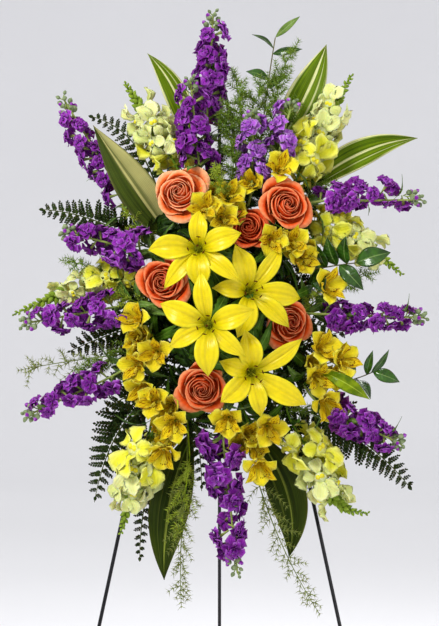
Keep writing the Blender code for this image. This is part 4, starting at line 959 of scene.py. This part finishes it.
def snapdragon_floret(look, draw):
    """A floret: a tube, two tall ruffled upper lobes, three turned-down lower ones and the puffed palate."""
    bits = Piece()
    t = np.linspace(0, 1, 7)
    tube_line = np.stack([0 * t, -2 * MM * t, 15 * MM * t], -1)
    bits.add(tube(tube_line, (2.4 + 4.2 * np.sin(t * 1.7)) * MM, look, 10, 0.35))
    bits.add(pod((0, 0, -1 * MM), (0, 0, 7 * MM), 3.6 * MM, "snapdragon_bud", 8))
    for clock, length, width, tilt in SNAPDRAGON_LOBES:
        angle = math.radians(clock)
        root = Vector((4.4 * math.cos(angle), 4.4 * math.sin(angle) - 2, 12)) * MM
        place = turned(Matrix.Translation(root), clock - 90)
        place = tilted(place, 90 - tilt + draw.uniform(-12, 12))
        bit = leaf(length * MM, width * MM, look, peak=0.62, fold=0.30, curl=0.5, ripple=0.38, rows=8,
                   columns=7, power=0.60, thickness=0.6 * MM, tone=draw.uniform(0.2, 1.0),
                   phase=draw.uniform(0, 6))
        bits.add(bit, place)
    for side in (-1, 1):
        back, front = Vector((side * 2.2, -3, 9)) * MM, Vector((side * 2.5, -5, 17)) * MM
        bits.add(pod(back, front, 3.6 * MM, "palate", 8))
    return bits.bits


def snapdragon(name, line_points, sag, florets, size, lemon_share, seed):
    """Lemon florets, then cream ones, then green buds; `sag` is how far its middle hangs down, in cm."""
    draw = np.random.default_rng(seed)
    line = spots(line_points)
    line.insert(1, line[0].lerp(line[-1], 0.4) - Vector((0, 0, sag * CM)))
    templates = {look: [snapdragon_floret(look, draw) for _ in range(2)]
                 for look in ("snapdragon_lemon", "snapdragon")}
    piece = Piece()
    onward = [bezier_at(line, step / 5) for step in range(6)]
    stem = draw_stem(piece, name, onward, 2.2 * MM, "stem", 0.9 * MM)
    for index in range(florets):
        step = index / (florets - 1)
        t = SNAPDRAGON_FLORET_END * step
        place = outward_frame(line, t, index * GOLDEN_TURN + draw.uniform(-0.2, 0.2), 0.35)
        scale = size * (1.0 - 0.50 * t) * draw.uniform(0.9, 1.1)
        look = "snapdragon_lemon" if step + draw.uniform(-0.15, 0.15) < lemon_share else "snapdragon"
        piece.add(templates[look][index % 2], sized(place, scale), tone=draw.uniform(-0.3, 0.05))
    for index in range(SNAPDRAGON_BUDS):
        step = index / (SNAPDRAGON_BUDS - 1)
        t = SNAPDRAGON_BUD_START + (1 - SNAPDRAGON_BUD_START) * step
        place = outward_frame(line, t, index * GOLDEN_TURN, 0.9)
        length = (2.0 - 1.4 * step) * CM
        tone = draw.uniform(0.2, 1.0)
        piece.add(pod((0, 0, 0), (0, 0, length), 0.30 * length, "snapdragon_bud", 7, 6, tone), place)
    stem_leaves(piece, stem, "leaf_green", draw, span=(0.18, 0.40), count=12, length=6 * CM,
                width=1.2 * CM)
    piece.build(name + "_spike", name)


# Alstroemerias

ALSTROEMERIA_DEPTH = 3.6 * CM
ALSTROEMERIA_STAMENS = 5
FUNNEL_PROFILE = [(0.20, -3.6), (0.48, -2.6), (0.74, -1.8), (0.68, -1.8), (0.40, -2.6), (0.10, -3.2)]  # in cm


def alstroemeria_tepal(reach, outer, draw):
    """Outer ones are broad and waved, with a green point; inner ones are narrow, upright and flecked."""
    width = (3.1 if outer else 1.9) * CM
    flare = reach * (1.05 if outer else 0.92) * draw.uniform(0.92, 1.08)
    rise = (0.1 if outer else 1.1) * CM + draw.uniform(-0.3, 0.3) * CM
    control = [
        (0.15 * CM, 0, -ALSTROEMERIA_DEPTH),
        (0.30 * flare, 0, -1.9 * CM),
        (0.62 * flare, draw.uniform(-0.3, 0.3) * CM, -0.1 * CM + 0.5 * rise),
        (flare, draw.uniform(-0.4, 0.4) * CM, rise - 0.3 * CM),
    ]
    v, u = blade_grid(12, 9)
    line = bezier(control, v)
    peak = 0.62 if outer else 0.58
    half = np.maximum(0.5 * width * swell(v, peak, np.where(v < peak, 0.95, 1.35)), 0.3 * MM)
    waved = waves(half, v, u, 0.42, 1.6, 11, draw.uniform(0, 6), 2.4) * v
    lift = 0.28 * half * np.abs(u) ** 1.5 + waved
    look = "alstroemeria" if outer else "alstroemeria_flecked"
    return sheet(ribbon(line, half, (0, 0, 1), lift), look, 0.5 * MM, draw.uniform(0.3, 1.0))


def alstroemeria_bloom(reach, draw):
    """Three broad tepals, three narrow ones and curved stamens round a funnel, in the bloom's frame."""
    bits = Piece()
    for index in range(6):
        place = turned(Matrix(), 60 * index + draw.uniform(-8, 8))
        bits.add(alstroemeria_tepal(reach, index % 2 == 0, draw), place)
    funnel = [(radius * CM, height * CM) for radius, height in FUNNEL_PROFILE]
    bits.add(turned_shape(funnel, "alstroemeria_flecked", 12, 0.0))
    for index in range(ALSTROEMERIA_STAMENS):
        clock = math.radians(-90 + 16 * (index - 2))
        tip = np.array((1.1 * math.cos(clock), 1.1 * math.sin(clock), 0.3 + 0.15 * (index % 2))) * CM
        stamen = [(0, 0, -2.6 * CM), (0, 0, -0.4 * CM), tip]
        bits.add(bent_bar(stamen, 8, 0.45, 0.45, "alstroemeria", 5))
        bits.add(pod(tip - (0, 0, 1.2 * MM), tip + (0, 0, 1.8 * MM), 1.0 * MM, "anther", 6, 5))
    return bits.bits


YOUNG_BLOOMS = 4
YOUNG_REACH = 2.3

# A broad bright leaf that stands out of an umbel: the point it bends at, its tip and its width
BRACTS = {"alstroemeria_right_low": ((18.6, -11.6, 16.5), (25.0, -16.4, 12.8), 2.6)}


def young_bloom(first, second, draw):
    """A smaller, half-open bloom that stands behind and between two others of its umbel."""
    across, up, out = ((a + b) / 2 for a, b in zip(first[0], second[0]))
    place = (across + draw.uniform(-1.4, 1.4), up + draw.uniform(-1.4, 1.4), out - 2.2)
    yaw = (first[1] + second[1]) / 2 + draw.uniform(-25, 25)
    return place, yaw, draw.uniform(-20, 20), draw.uniform(0, 60), YOUNG_REACH


def bract(piece, fork, bend, tip, width, draw):
    """A broad leaf that grows out of the fork of an umbel, narrow at its foot."""
    v, u = blade_grid(26, 9)
    half = np.maximum(0.5 * width * CM * swell(v, 0.66, 1.2), 0.8 * MM * (1 - v))
    lift = 0.25 * half * np.abs(u) + waves(half, v, u, 0.08, 1, 9, draw.uniform(0, 6), 0)
    line = bezier([fork, *spots((bend, tip))], v)
    piece.add(sheet(ribbon(line, half, TO_VIEWER, lift), "bract", 0.6 * MM, draw.uniform(0.4, 0.8)))


def alstroemeria(name, fork, blooms, seed):
    """An umbel: each bloom stands on its own stalk from the fork of the stem."""
    draw = np.random.default_rng(seed)
    fork = spot(*fork)
    piece = Piece()
    stem = draw_stem(piece, name, [fork], 2.2 * MM, "stem")
    pairs = itertools.islice(itertools.combinations(blooms, 2), YOUNG_BLOOMS)
    blooms = blooms + [young_bloom(*pair, draw) for pair in pairs]
    for at, yaw, pitch, roll, reach in blooms:
        bloom = facing(spot(*at), yaw, pitch, roll)
        base = bloom @ Vector((0, 0, -ALSTROEMERIA_DEPTH))
        back = bloom @ Vector((0, 0, -ALSTROEMERIA_DEPTH - 1.6 * CM))
        piece.add(alstroemeria_bloom(reach * CM, draw), bloom)
        piece.add(bent_bar([fork, fork.lerp(back, 0.6), back, base], 10, 1.1, 1.1, "stem"))
        seed_case = [(0, 0, -ALSTROEMERIA_DEPTH - 0.5 * CM), (0, 0, -ALSTROEMERIA_DEPTH + 0.7 * CM)]
        piece.add(pod(*seed_case, 3.2 * MM, "stem", 8), bloom)
    stem_leaves(piece, stem, "leaf_green", draw, span=(0.3, 1.0), count=18, length=8 * CM,
                width=1.8 * CM, lean=(0.8, 0.1), ripple=0.15)
    if name in BRACTS:
        bract(piece, fork, *BRACTS[name], draw)
    piece.build(name + "_blooms", name)


# Broad variegated leaves


def broad_leaf(name, line_points, width, look, seed):
    """A pleated blade with a grooved midrib and waved edges, on its own stem."""
    draw = np.random.default_rng(seed)
    control = spots(line_points)
    v, u = blade_grid(60, 21)
    line = bezier(control, v)
    half = np.maximum(0.5 * width * CM * swell(v, 0.46), 0.3 * MM)
    fold = 0.16 * half * np.abs(u)
    groove = -1.0 * MM * np.exp(-(u / 0.06) ** 2) * np.sin(math.pi * v)
    waved = waves(half, v, u, 0.11, 2, 14, draw.uniform(0, 6), 3)
    pleats = 0.25 * MM * np.cos(u * 30) * np.sin(math.pi * v)
    surface = ribbon(line, half, TO_VIEWER, fold + groove + waved + pleats)
    piece = Piece()
    piece.add(sheet(surface, look, 0.8 * MM, draw.uniform(0.4, 0.8)))
    root, ahead = bezier_at(control, 0.05), bezier_at(control, 0.35)
    draw_stem(piece, name, [root, root.lerp(ahead, 0.5)], 2.0 * MM, "stem", 0.9 * MM)
    piece.build(name + "_blade", name)


# Leatherleaf fern

PINNA_SPACING = 1.55 * CM
LOBE_TONES = (0.25, 0.5, 0.8)
LOBE_ANGLE = 44  # between a lobe and the rib of its leaflet, in degrees


def frond(piece, points, width, draw):
    """A frond cut twice: leaflets in pairs up the stalk, each cut in pairs of lobes again."""
    control = spots(points)
    length = (control[-1] - control[0]).length
    pairs = round(length / PINNA_SPACING)
    piece.add(bent_bar(control, 16, 1.8, 0.6, "fern_stem"))
    lobe_shapes = [leaf(1.0, 0.62, "fern", peak=0.42, fold=0.1, curl=0.1, rows=4, columns=3, power=0.75,
                        thickness=0.05, tone=tone) for tone in LOBE_TONES]
    for index in range(2 * pairs):
        t = 0.02 + 0.95 * (index / (2 * pairs)) ** 0.85
        side = (-1) ** index
        along = heading(control, t)
        across = along.cross(TO_VIEWER).normalized() * side
        normal = TO_VIEWER - along * TO_VIEWER.dot(along)
        reach = 0.58 * width * CM * min(1.0, 0.62 + 1.8 * t) * (1.08 - t)
        aim = (across + along * draw.uniform(0.40, 0.65) - normal * draw.uniform(0.05, 0.3)).normalized()
        place = growing(bezier_at(control, t), aim, normal)
        spacing = max(3.2 * MM, 0.075 * reach + 2.2 * MM)
        count = max(3, int(reach / spacing))
        rib = [(0, 0, 0), (0, 0.5 * reach, 0.05 * reach), (0.06 * reach * side, reach, -0.08 * reach)]
        piece.add(bent_bar(rib, 5, 0.55, 0.25, "fern_stem", 4), place)
        for step in range(2 * count + 1):
            share = 0.02 + 0.96 * step / (2 * count)
            angle = 0 if step == 2 * count else LOBE_ANGLE * (-1) ** step
            size = (0.22 * reach * (1.0 - 0.72 * share) + 3.6 * MM) * draw.uniform(0.9, 1.1)
            at = turned(Matrix.Translation(bezier_at(rib, share)), -angle)
            at = at @ Matrix.Rotation(draw.uniform(-0.25, 0.15), 4, "X")
            piece.add(lobe_shapes[draw.integers(len(LOBE_TONES))], sized(place @ at, size))
    end = growing(bezier_at(control, 0.95), heading(control, 1), TO_VIEWER)
    piece.add(lobe_shapes[1], sized(end, 0.05 * length))


def fern(name, fork, fronds, seed):
    """Fronds given as (points, width in cm)."""
    draw = np.random.default_rng(seed)
    piece = Piece()
    fork = spot(*fork)
    draw_stem(piece, name, [fork], 1.6 * MM, "fern_stem")
    for points, width in fronds:
        root = spot(*points[0])
        piece.add(tube([fork, fork.lerp(root, 0.5), root], 1.3 * MM, "fern_stem", 6))
        frond(piece, points, width, draw)
    piece.build(name + "_fronds", name)


# Asparagus fern

NEEDLE_RADIUS = 0.95 * MM
NEEDLE_TONES = (0.2, 0.6, 1.0)

# How the branches of a spray stand and how their needles are
SPRAY_STYLES = {
    "bushy": {"look": "asparagus", "spread": 3.1, "step": 4.2 * MM, "needle": 13 * MM, "whorl": 6},
    "tuft": {"look": "asparagus_pale", "spread": 3.1, "step": 3.6 * MM, "needle": 11 * MM, "whorl": 6},
    "feathery": {"look": "asparagus", "spread": 1.6, "step": 4.6 * MM, "needle": 13 * MM, "whorl": 5},
    "trailing": {"look": "asparagus_olive", "spread": 1.4, "step": 6.5 * MM, "needle": 13 * MM, "whorl": 5},
}


def needle(length, look, tone):
    """A slim three-sided needle along +Y."""
    turns = np.linspace(0, math.tau, 3, endpoint=False)
    root = np.stack([np.cos(turns), 0 * turns, np.sin(turns)], -1) * NEEDLE_RADIUS
    points = np.concatenate([root, [(0, length, 0.06 * length)]])
    faces = [np.array([(0, 3, 1), (1, 3, 2), (2, 3, 0), (0, 1, 2)])]
    notes = np.array([(0.5, y / length, tone) for y in points[:, 1]])
    return points, faces, notes, look


def needle_branch(piece, line, length, style, draw):
    """A thin branch with whorls of needles all round it."""
    piece.add(bent_bar(line, 6, 0.7, 0.3, style["look"], 4))
    shapes = [needle(style["needle"], style["look"], tone) for tone in NEEDLE_TONES]
    count = max(2, int(length / style["step"]))
    for index in range(count):
        t = (index + 0.6) / count
        along = heading(line, t)
        root = bezier_at(line, t)
        first = along.orthogonal().normalized()
        for number in range(style["whorl"]):
            turn = math.tau * number / style["whorl"] + index * 1.1 + draw.uniform(-0.4, 0.4)
            away = Matrix.Rotation(turn, 3, along) @ first
            place = growing(root, away + along * draw.uniform(0.2, 1.0), along)
            shape = shapes[draw.integers(len(NEEDLE_TONES))]
            piece.add(shape, sized(place, draw.uniform(0.75, 1.15) * (1.05 - 0.35 * t)))


def spray(piece, points, branches, reach, style, draw):
    """An asparagus stem with side branches that turn out of its own plane by up to the style's spread."""
    control = spots(points)
    length = (control[-1] - control[0]).length
    piece.add(bent_bar(control, 14, 1.2, 0.5, style["look"]))
    tip = [bezier_at(control, 0.8), bezier_at(control, 0.9), control[-1]]
    needle_branch(piece, tip, 0.2 * length, style, draw)
    for index in range(branches):
        t = 0.05 + 0.88 * (index + draw.uniform(-0.4, 0.4)) / branches
        along = heading(control, max(t, 0.0))
        across = along.cross(TO_VIEWER).normalized()
        turn = (0 if index % 2 == 0 else math.pi) + draw.uniform(-1, 1) * style["spread"]
        away = Matrix.Rotation(turn, 3, along) @ across
        span = reach * CM * (1.15 - 0.65 * t) * draw.uniform(0.45, 1.15)
        root = bezier_at(control, max(t, 0.0))
        forward = draw.uniform(0.2, 1.1)
        line = [root, root + (away + along * 0.4 * forward).normalized() * 0.5 * span,
                root + (away * 0.8 + along * forward).normalized() * span - Vector((0, 0, 0.08 * span))]
        needle_branch(piece, line, span, style, draw)


def asparagus(name, fork, sprays, seed):
    """Sprays given as (points, number of branches, how far they reach in cm, style)."""
    draw = np.random.default_rng(seed)
    fork = spot(*fork)
    piece = Piece()
    draw_stem(piece, name, [fork], 1.4 * MM, "asparagus")
    for points, branches, reach, kind in sprays:
        style = SPRAY_STYLES[kind]
        root = spot(*points[0])
        piece.add(tube([fork, fork.lerp(root, 0.5), root], 1.2 * MM, style["look"], 6))
        spray(piece, points, branches, reach, style, draw)
    piece.build(name + "_sprays", name)


# Broad-leaved twigs


def twig(name, line_points, leaves, seed):
    """A twig with leaves given as (share of its length, way it grows, length and width in cm, look)."""
    draw = np.random.default_rng(seed)
    control = spots(line_points)
    piece = Piece()
    onward = [bezier_at(control, step / 4) for step in range(5)]
    draw_stem(piece, name, onward, 1.7 * MM, "bark", 0.9 * MM)
    for place, (across, up, out), length, width, look in leaves:
        root = bezier_at(control, place)
        aim = Vector((across, -out, up))
        bit = leaf(length * CM, width * CM, look, fold=0.2, curl=0.12, ripple=0.06, rows=18, columns=9,
                   thickness=0.6 * MM, tone=draw.uniform(0.35, 0.8))
        face = TO_VIEWER + Vector((draw.uniform(-0.8, 0.8), 0, draw.uniform(-0.3, 0.8)))
        piece.add(bit, growing(root, aim, face))
    piece.build(name + "_leaves", name)


# The arrangement: places are centimetres right of, above and in front of the middle of the foam


def arrange_lilies():
    lily("lily_top", (-3.6, 8.7, 20.5), -4, 6,
         {179: 8.2, 273: 6.9, 19: 7.5}, {232: 8.6, 323: 8.9, 88: 6.2}, 1)
    lily("lily_right", (5.3, 1.6, 18.2), 14, 4,
         {354: 8.9, 109: 8.1, 256: 7.9}, {51: 9.3, 174: 6.2, 318: 8.8}, 2)
    lily("lily_middle", (-2, -3.9, 24.2), -6, 0,
         {158: 8.6, 270: 8.3, 18: 7.8}, {99: 8.7, 206: 7.4, 320: 7.9}, 3)
    lily("lily_bottom", (5.4, -11.9, 21.2), 8, -6,
         {330: 10.5, 97: 7.1, 223: 6.9}, {31: 10, 156: 5.6, 283: 7.4}, 4)


def arrange_stocks():
    stock("stock_top", [((-2.1, 31, 5.5), (-1.1, 49, 4), 19)], "stock", 21, 1.1)
    stock("stock_top_low", [((-3.4, 22.8, 9.5), (-4.9, 37, 9.5), 15)], "stock", 22, 1.12)
    stock("stock_top_pair", [((5.4, 19, 11), (5.6, 31.5, 10.5), 14),
                             ((9.4, 23.6, 9.5), (12.2, 33.2, 9.5), 7)], "stock_light", 23)
    stock("stock_left_upper", [((-16.4, 17.8, 3), (-26.8, 34.8, 3), 18)], "stock", 24, bow=(-1.2, -1))
    stock("stock_left", [((-12.4, 8.2, 10.6), (-26, 11.6, 9.5), 14)], "stock", 25, 1.12)
    stock("stock_left_middle", [((-17, -0.9, 9), (-33, -3.8, 8), 15)], "stock", 26)
    stock("stock_left_low", [((-18, -12.6, 9), (-32.6, -19.4, 8), 15)], "stock", 27)
    stock("stock_right_upper", [((16.8, 16.8, 8.5), (34.2, 17.2, 6.5), 16)], "stock", 28, bow=(0, 2.4))
    stock("stock_right", [((17.6, -2.2, 9.5), (34.6, -2.8, 7.5), 17)], "stock", 29)
    stock("stock_right_low", [((18.6, -18.4, 9.5), (30.5, -24, 9), 14)], "stock", 30)
    stock("stock_bottom", [((0.6, -22.6, 12), (3, -45.6, 9.5), 20)], "stock", 31, 1.24, (-1.5, 0))


def arrange_snapdragons():
    snapdragon("snapdragon_top_left", [(-8.2, 24.4, 7.5), (-16, 37, 6.5)], 0, 11, 1.8, 0.2, 41)
    snapdragon("snapdragon_top_right", [(13.8, 22.6, 6), (22.6, 38.6, 4.5)], -0.5, 13, 1.95, 0.45, 42)
    snapdragon("snapdragon_left", [(-15.5, 4.2, 5.5), (-35, -2.2, 4.5)], -1.5, 11, 1.6, 0.4, 43)
    snapdragon("snapdragon_right", [(17.2, 12.6, 5.5), (31, 4.6, 5)], -2.5, 10, 1.85, 0.5, 44)
    snapdragon("snapdragon_bottom_left", [(-12.4, -24.6, 10), (-16.6, -39, 8.5)], -1, 12, 1.9, 0.3, 45)
    snapdragon("snapdragon_bottom_right", [(13.4, -22.6, 9.5), (16.8, -35.5, 8.5), (25, -35.8, 8)],
               0, 10, 1.95, 0.4, 46)


def arrange_leaves():
    broad_leaf("leaf_left_tall", [(-7.6, 10, 6), (-13.6, 18, 10.5), (-21.4, 29.8, 6.5)], 6.6, "leaf_wide", 61)
    broad_leaf("leaf_top_left", [(-4.6, 26, 2.5), (-6.4, 36.5, 2.6), (-12.4, 42.6, 2)], 4.2,
               "leaf_striped", 62)
    broad_leaf("leaf_top_right", [(9, 25, 2), (15.4, 35.5, 2.6), (18.4, 44.2, 1.6)], 6, "leaf_striped", 63)
    broad_leaf("leaf_right_upper", [(14, 18.4, 3), (23, 27, 4.2), (34, 28, 2.5)], 5,
               "leaf_striped", 64)
    broad_leaf("leaf_bottom_left", [(-4.6, -22, 6), (-10, -35, 7), (-9.4, -47.4, 5.4)], 7,
               "leaf_dark", 65)
    broad_leaf("leaf_bottom_right", [(5.6, -22, 5), (14.4, -33, 6), (11.8, -43.6, 5)], 6.6,
               "leaf_dark", 66)


def arrange_ferns():
    fern("fern_left_upper", (-8.6, 8.4, 1.5), [
        ([(-12.6, 9.4, 1.8), (-22, 15.5, 2.2), (-31, 15.8, 2)], 9.5),
        ([(-9.8, 16, 1), (-13, 30, 1.2), (-22.6, 32, 0.8)], 6.5),
        ([(-9, 11, 3), (-12, 16, 7), (-14, 22, 7)], 8),
        ([(-5, 11, 4), (-2, 18, 7), (0, 26, 6.6)], 9),
    ], 71)
    fern("fern_left_middle", (-8.6, -3.4, 2), [
        ([(-13.4, -4.2, 3), (-19, -5.4, 3.4), (-26.2, -8.8, 3)], 9.5),
        ([(-10, -2, 4), (-14, 2, 7.5), (-20, 4, 7.5)], 8),
        ([(-10, -6, 4), (-14, -12, 8), (-20, -15, 8)], 8),
        ([(-9, 0, 4), (-12, -5, 8), (-16, -9, 8)], 9),
    ], 72)
    fern("fern_left_low", (-9, -14, 2), [
        ([(-13, -17, 3), (-19.5, -23, 3.4), (-21.4, -34.4, 3.2)], 10.5),
        ([(-10.6, -26, 4.6), (-13.6, -35, 5), (-13.6, -44.4, 4.6)], 5),
        ([(-7, -14, 6), (-3, -20, 9.5), (-3, -32, 8.4)], 8),
        ([(-6, -10, 5), (-10, -15, 9), (-15, -20, 9)], 9),
        ([(-10, -13, 3), (-14, -15.4, 6.5), (-20, -18.4, 6.5)], 8),
    ], 73)
    fern("fern_right_low", (9.4, -14, 2), [
        ([(14, -18.4, 2.6), (26, -23, 3), (33, -32.4, 2.6)], 11),
        ([(10, -10, 5), (15, -6, 8), (22, -5, 7.5)], 8),
        ([(8, -14, 6), (10, -20, 9), (15, -27, 8.6)], 8),
        ([(9, -6, 4), (13, 2, 8), (16, 10, 8)], 9),
        ([(10, -12, 5), (14, -13, 9), (20, -13, 9)], 8),
        ([(9, 8, 4), (12, 15, 6.4), (18, 21, 5.4)], 9),
        ([(9, -3, 4), (13, -3.4, 8), (19, -4.4, 8)], 7),
    ], 74)


def arrange_asparagus():
    asparagus("asparagus_top", (5.4, 20, 3), [
        ([(6.4, 24, 3.6), (8, 36, 4.4), (13.6, 44.6, 4)], 24, 4.6, "bushy"),
        ([(4.4, 28, 3.6), (3.2, 34, 4.6), (2.6, 39.6, 4.2)], 18, 3.6, "bushy"),
        ([(5, 23, 4), (6.4, 31, 5.4), (7, 38.6, 5)], 24, 4.6, "bushy"),
        ([(3.6, 20, 6), (1.6, 26, 8), (1.4, 32, 8)], 20, 3.8, "bushy"),
        ([(7.4, 22, 4), (11.4, 28, 5), (13, 35, 4.6)], 18, 4, "bushy"),
        ([(2.6, 24, 5), (1.8, 31, 7), (4.6, 37, 6.6)], 22, 4.6, "bushy"),
        ([(8, 25, 4), (9.4, 33, 5), (10.8, 40, 4.6)], 20, 4.4, "bushy"),
        ([(8, 14, 5), (14, 17, 6.4), (20, 20.6, 6)], 14, 3.6, "feathery"),
        ([(1, 16, 9), (0.6, 18, 15), (-1, 22.6, 16.4)], 20, 2.8, "tuft"),
        ([(2, 18, 8), (2.6, 22.6, 11), (2, 27, 11)], 18, 3.6, "bushy"),
        ([(-6, 22, 5), (-9, 25, 8), (-11.6, 28.4, 8)], 12, 2.6, "tuft"),
        ([(-0.6, 21, 2), (0.6, 29, 3), (0.6, 37, 3)], 16, 3.4, "bushy"),
    ], 81)
    asparagus("asparagus_left", (-8, -5.8, 4.8), [
        ([(-13, -8.6, 5), (-26, -10, 6), (-34.4, -11.8, 4.6)], 20, 5, "trailing"),
        ([(-14, -8, 6), (-19, -9.6, 7), (-24.6, -12.6, 6.6)], 16, 3.8, "bushy"),
        ([(-10, -2, 6), (-16, 1, 9), (-19, 1.4, 9.5)], 14, 3, "tuft"),
        ([(-12, 1, 5), (-20, 6, 6), (-27, 7, 6)], 18, 4, "feathery"),
        ([(-9, 6, 6), (-13, 11, 8.6), (-16.4, 16.4, 8)], 16, 3.4, "tuft"),
    ], 82)
    asparagus("asparagus_bottom_left", (-5.4, -20, 9), [
        ([(-5.4, -30, 10), (-7, -41, 10.4), (-6.4, -51.6, 8.8)], 32, 4, "trailing"),
        ([(-5, -26, 10), (-5.6, -33, 10.6), (-7.6, -40, 10)], 18, 3.4, "tuft"),
        ([(-8, -21, 8.5), (-12, -24, 8), (-14.6, -28, 8)], 12, 3.4, "feathery"),
    ], 83)
    asparagus("asparagus_bottom_right", (6.2, -19, 8), [
        ([(6.4, -30, 9), (10, -42, 9.4), (17, -53, 7.6)], 30, 4.2, "trailing"),
        ([(9, -19, 7), (13, -18, 8), (17.6, -18.4, 8)], 14, 3.4, "feathery"),
        ([(11, -8, 6), (15, -1, 9), (17.6, 3, 9.6)], 14, 3, "tuft"),
        ([(15, -1, 7), (20, 3.4, 7.4), (27, 5, 7)], 14, 3.4, "bushy"),
    ], 84)


def arrange_twigs():
    twig("twig_top", [(7, 26, 1.2), (8, 36, 1.4), (9.6, 45.4, 1.4)], [
        (1, (0.75, 0.65, 0.1), 5.6, 1.3, "twig_bright"),
        (0.9, (-0.8, 0.6, 0.2), 4.4, 1.1, "twig"),
        (0.85, (1, 0.15, 0.3), 5.2, 1.4, "twig"),
        (0.62, (-0.9, 0.35, 0.3), 4.2, 1.9, "twig"),
        (0.55, (0.8, 0.5, 0.3), 4, 1.6, "twig"),
    ], 91)
    twig("twig_right", [(13.2, 4.8, 9), (19, 6, 10.4), (23, 6.4, 10.4)], [
        (0.98, (0.9, 0.30, 0.2), 6, 3.4, "twig"),
        (0.80, (-0.15, 1, 0.4), 4.8, 2.8, "twig"),
        (0.62, (-0.45, 1, 0.3), 5, 2.8, "twig"),
        (0.44, (-0.55, 1, 0.5), 4.4, 2.4, "twig"),
        (0.66, (0.80, -0.85, 0.5), 6, 2.8, "twig"),
        (0.30, (0.15, -1, 0.5), 4.6, 2.8, "twig"),
        (0.20, (-0.5, 1, 0.9), 4.2, 2.2, "twig"),
    ], 92)
    twig("twig_right_low", [(17, -14.6, 5), (22.6, -13.6, 6.4), (26, -12, 6.4)], [
        (1, (1, -0.35, 0.2), 4.8, 2.4, "twig"),
        (0.95, (0.75, 0.9, 0.2), 5, 1.3, "twig"),
        (0.85, (0.2, 1, 0.4), 4.4, 1.5, "twig"),
        (0.60, (0.75, -0.8, 0.9), 5, 2.2, "twig"),
        (0.50, (-0.1, 1, 0.5), 4.6, 2.2, "twig"),
    ], 93)


# The easel, cage and foam keep their solids and get their finish


def dress_frame():
    wire = speckled_look("black_enamel", 0x121214, 0x1C1C1F, 300.0, 0.32, 0.05, Coat_Weight=0.3)
    plastic = speckled_look("green_plastic", 0x1C3A20, 0x244828, 200.0, 0.45, 0.1)
    foam = speckled_look("wet_foam_grain", 0x16301A, 0x2A4E2C, 900.0, 0.95, 0.6)
    finishes = {"wire": wire, "cage": plastic, "foam": foam}
    slots = {part["node"]: part["material_slot"] for part in frame["record"]["subparts"]}
    for node, item in frame["nodes"].items():
        finish = finishes.get(slots[node])
        if finish:
            item.data.materials.clear()
            item.data.materials.append(finish)
            for face in item.data.polygons:
                face.material_index = 0


# Camera, light and stage


def make_camera():
    bpy.context.scene.view_settings.view_transform = "Standard"
    data = bpy.data.cameras.new("photo_camera")
    data.lens = CAMERA_LENS
    camera = bpy.data.objects.new("photo_camera", data)
    camera.location = (0, HEART.y - CAMERA_DISTANCE, CAMERA_HEIGHT)
    camera.rotation_euler = (math.pi / 2, 0, 0)
    bpy.context.scene.collection.objects.link(camera)
    bpy.context.scene.camera = camera


def soft_light(name, location, size, power):
    """A square lamp that faces the middle of the flowers."""
    data = bpy.data.lights.new(name, "AREA")
    data.energy = power
    data.size = size
    lamp = bpy.data.objects.new(name, data)
    lamp.location = location
    lamp.rotation_euler = (HEART - Vector(location)).to_track_quat("-Z", "Y").to_euler()
    bpy.context.scene.collection.objects.link(lamp)


def make_stage():
    """A pale round floor that curves up into a wall all round, far enough out for every view."""
    profile = [(0.0, FLOOR_LEVEL), (STAGE_RADIUS - STAGE_BEND, FLOOR_LEVEL)]
    for step in range(1, STAGE_STEPS + 1):
        turn = 0.5 * math.pi * step / STAGE_STEPS
        out = STAGE_RADIUS - STAGE_BEND + STAGE_BEND * math.sin(turn)
        profile.append((out, FLOOR_LEVEL + STAGE_BEND * (1 - math.cos(turn))))
    profile.append((STAGE_RADIUS, STAGE_HEIGHT))
    bm = bmesh.new()
    line = [bm.verts.new((out, 0, up)) for out, up in profile]
    edges = [bm.edges.new(pair) for pair in zip(line, line[1:])]
    bmesh.ops.spin(bm, geom=line + edges, axis=(0, 0, 1), cent=(0, 0, 0), steps=STAGE_SIDES, angle=math.tau)
    bmesh.ops.remove_doubles(bm, verts=bm.verts, dist=MM)
    bmesh.ops.recalc_face_normals(bm, faces=bm.faces)
    mesh = bpy.data.meshes.new("stage")
    bm.to_mesh(mesh)
    bm.free()
    mesh.shade_smooth()
    mesh.materials.append(speckled_look("pale_stage", 0xE6E6E9, 0xE8E8EB, 0.6, 0.9, 0.1))
    stage = bpy.data.objects.new("stage", mesh)
    bpy.context.scene.collection.objects.link(stage)


def make_lights():
    world = bpy.data.worlds.new("studio")
    world.use_nodes = True
    sky = world.node_tree.nodes["Background"]
    sky.inputs["Color"].default_value = (1.0, 1.0, 1.0, 1)
    sky.inputs["Strength"].default_value = SKY_STRENGTH
    bpy.context.scene.world = world
    for name, (location, size, power) in LAMPS.items():
        soft_light(name, location, size, power)


make_camera()
arrange_lilies()
for rose_name, rose_details in ROSES.items():
    rose(rose_name, *rose_details)
arrange_stocks()
arrange_snapdragons()
for umbel_name, umbel_details in ALSTROEMERIAS.items():
    alstroemeria(umbel_name, *umbel_details)
arrange_leaves()
arrange_ferns()
arrange_asparagus()
arrange_twigs()
dress_frame()
make_stage()
make_lights()
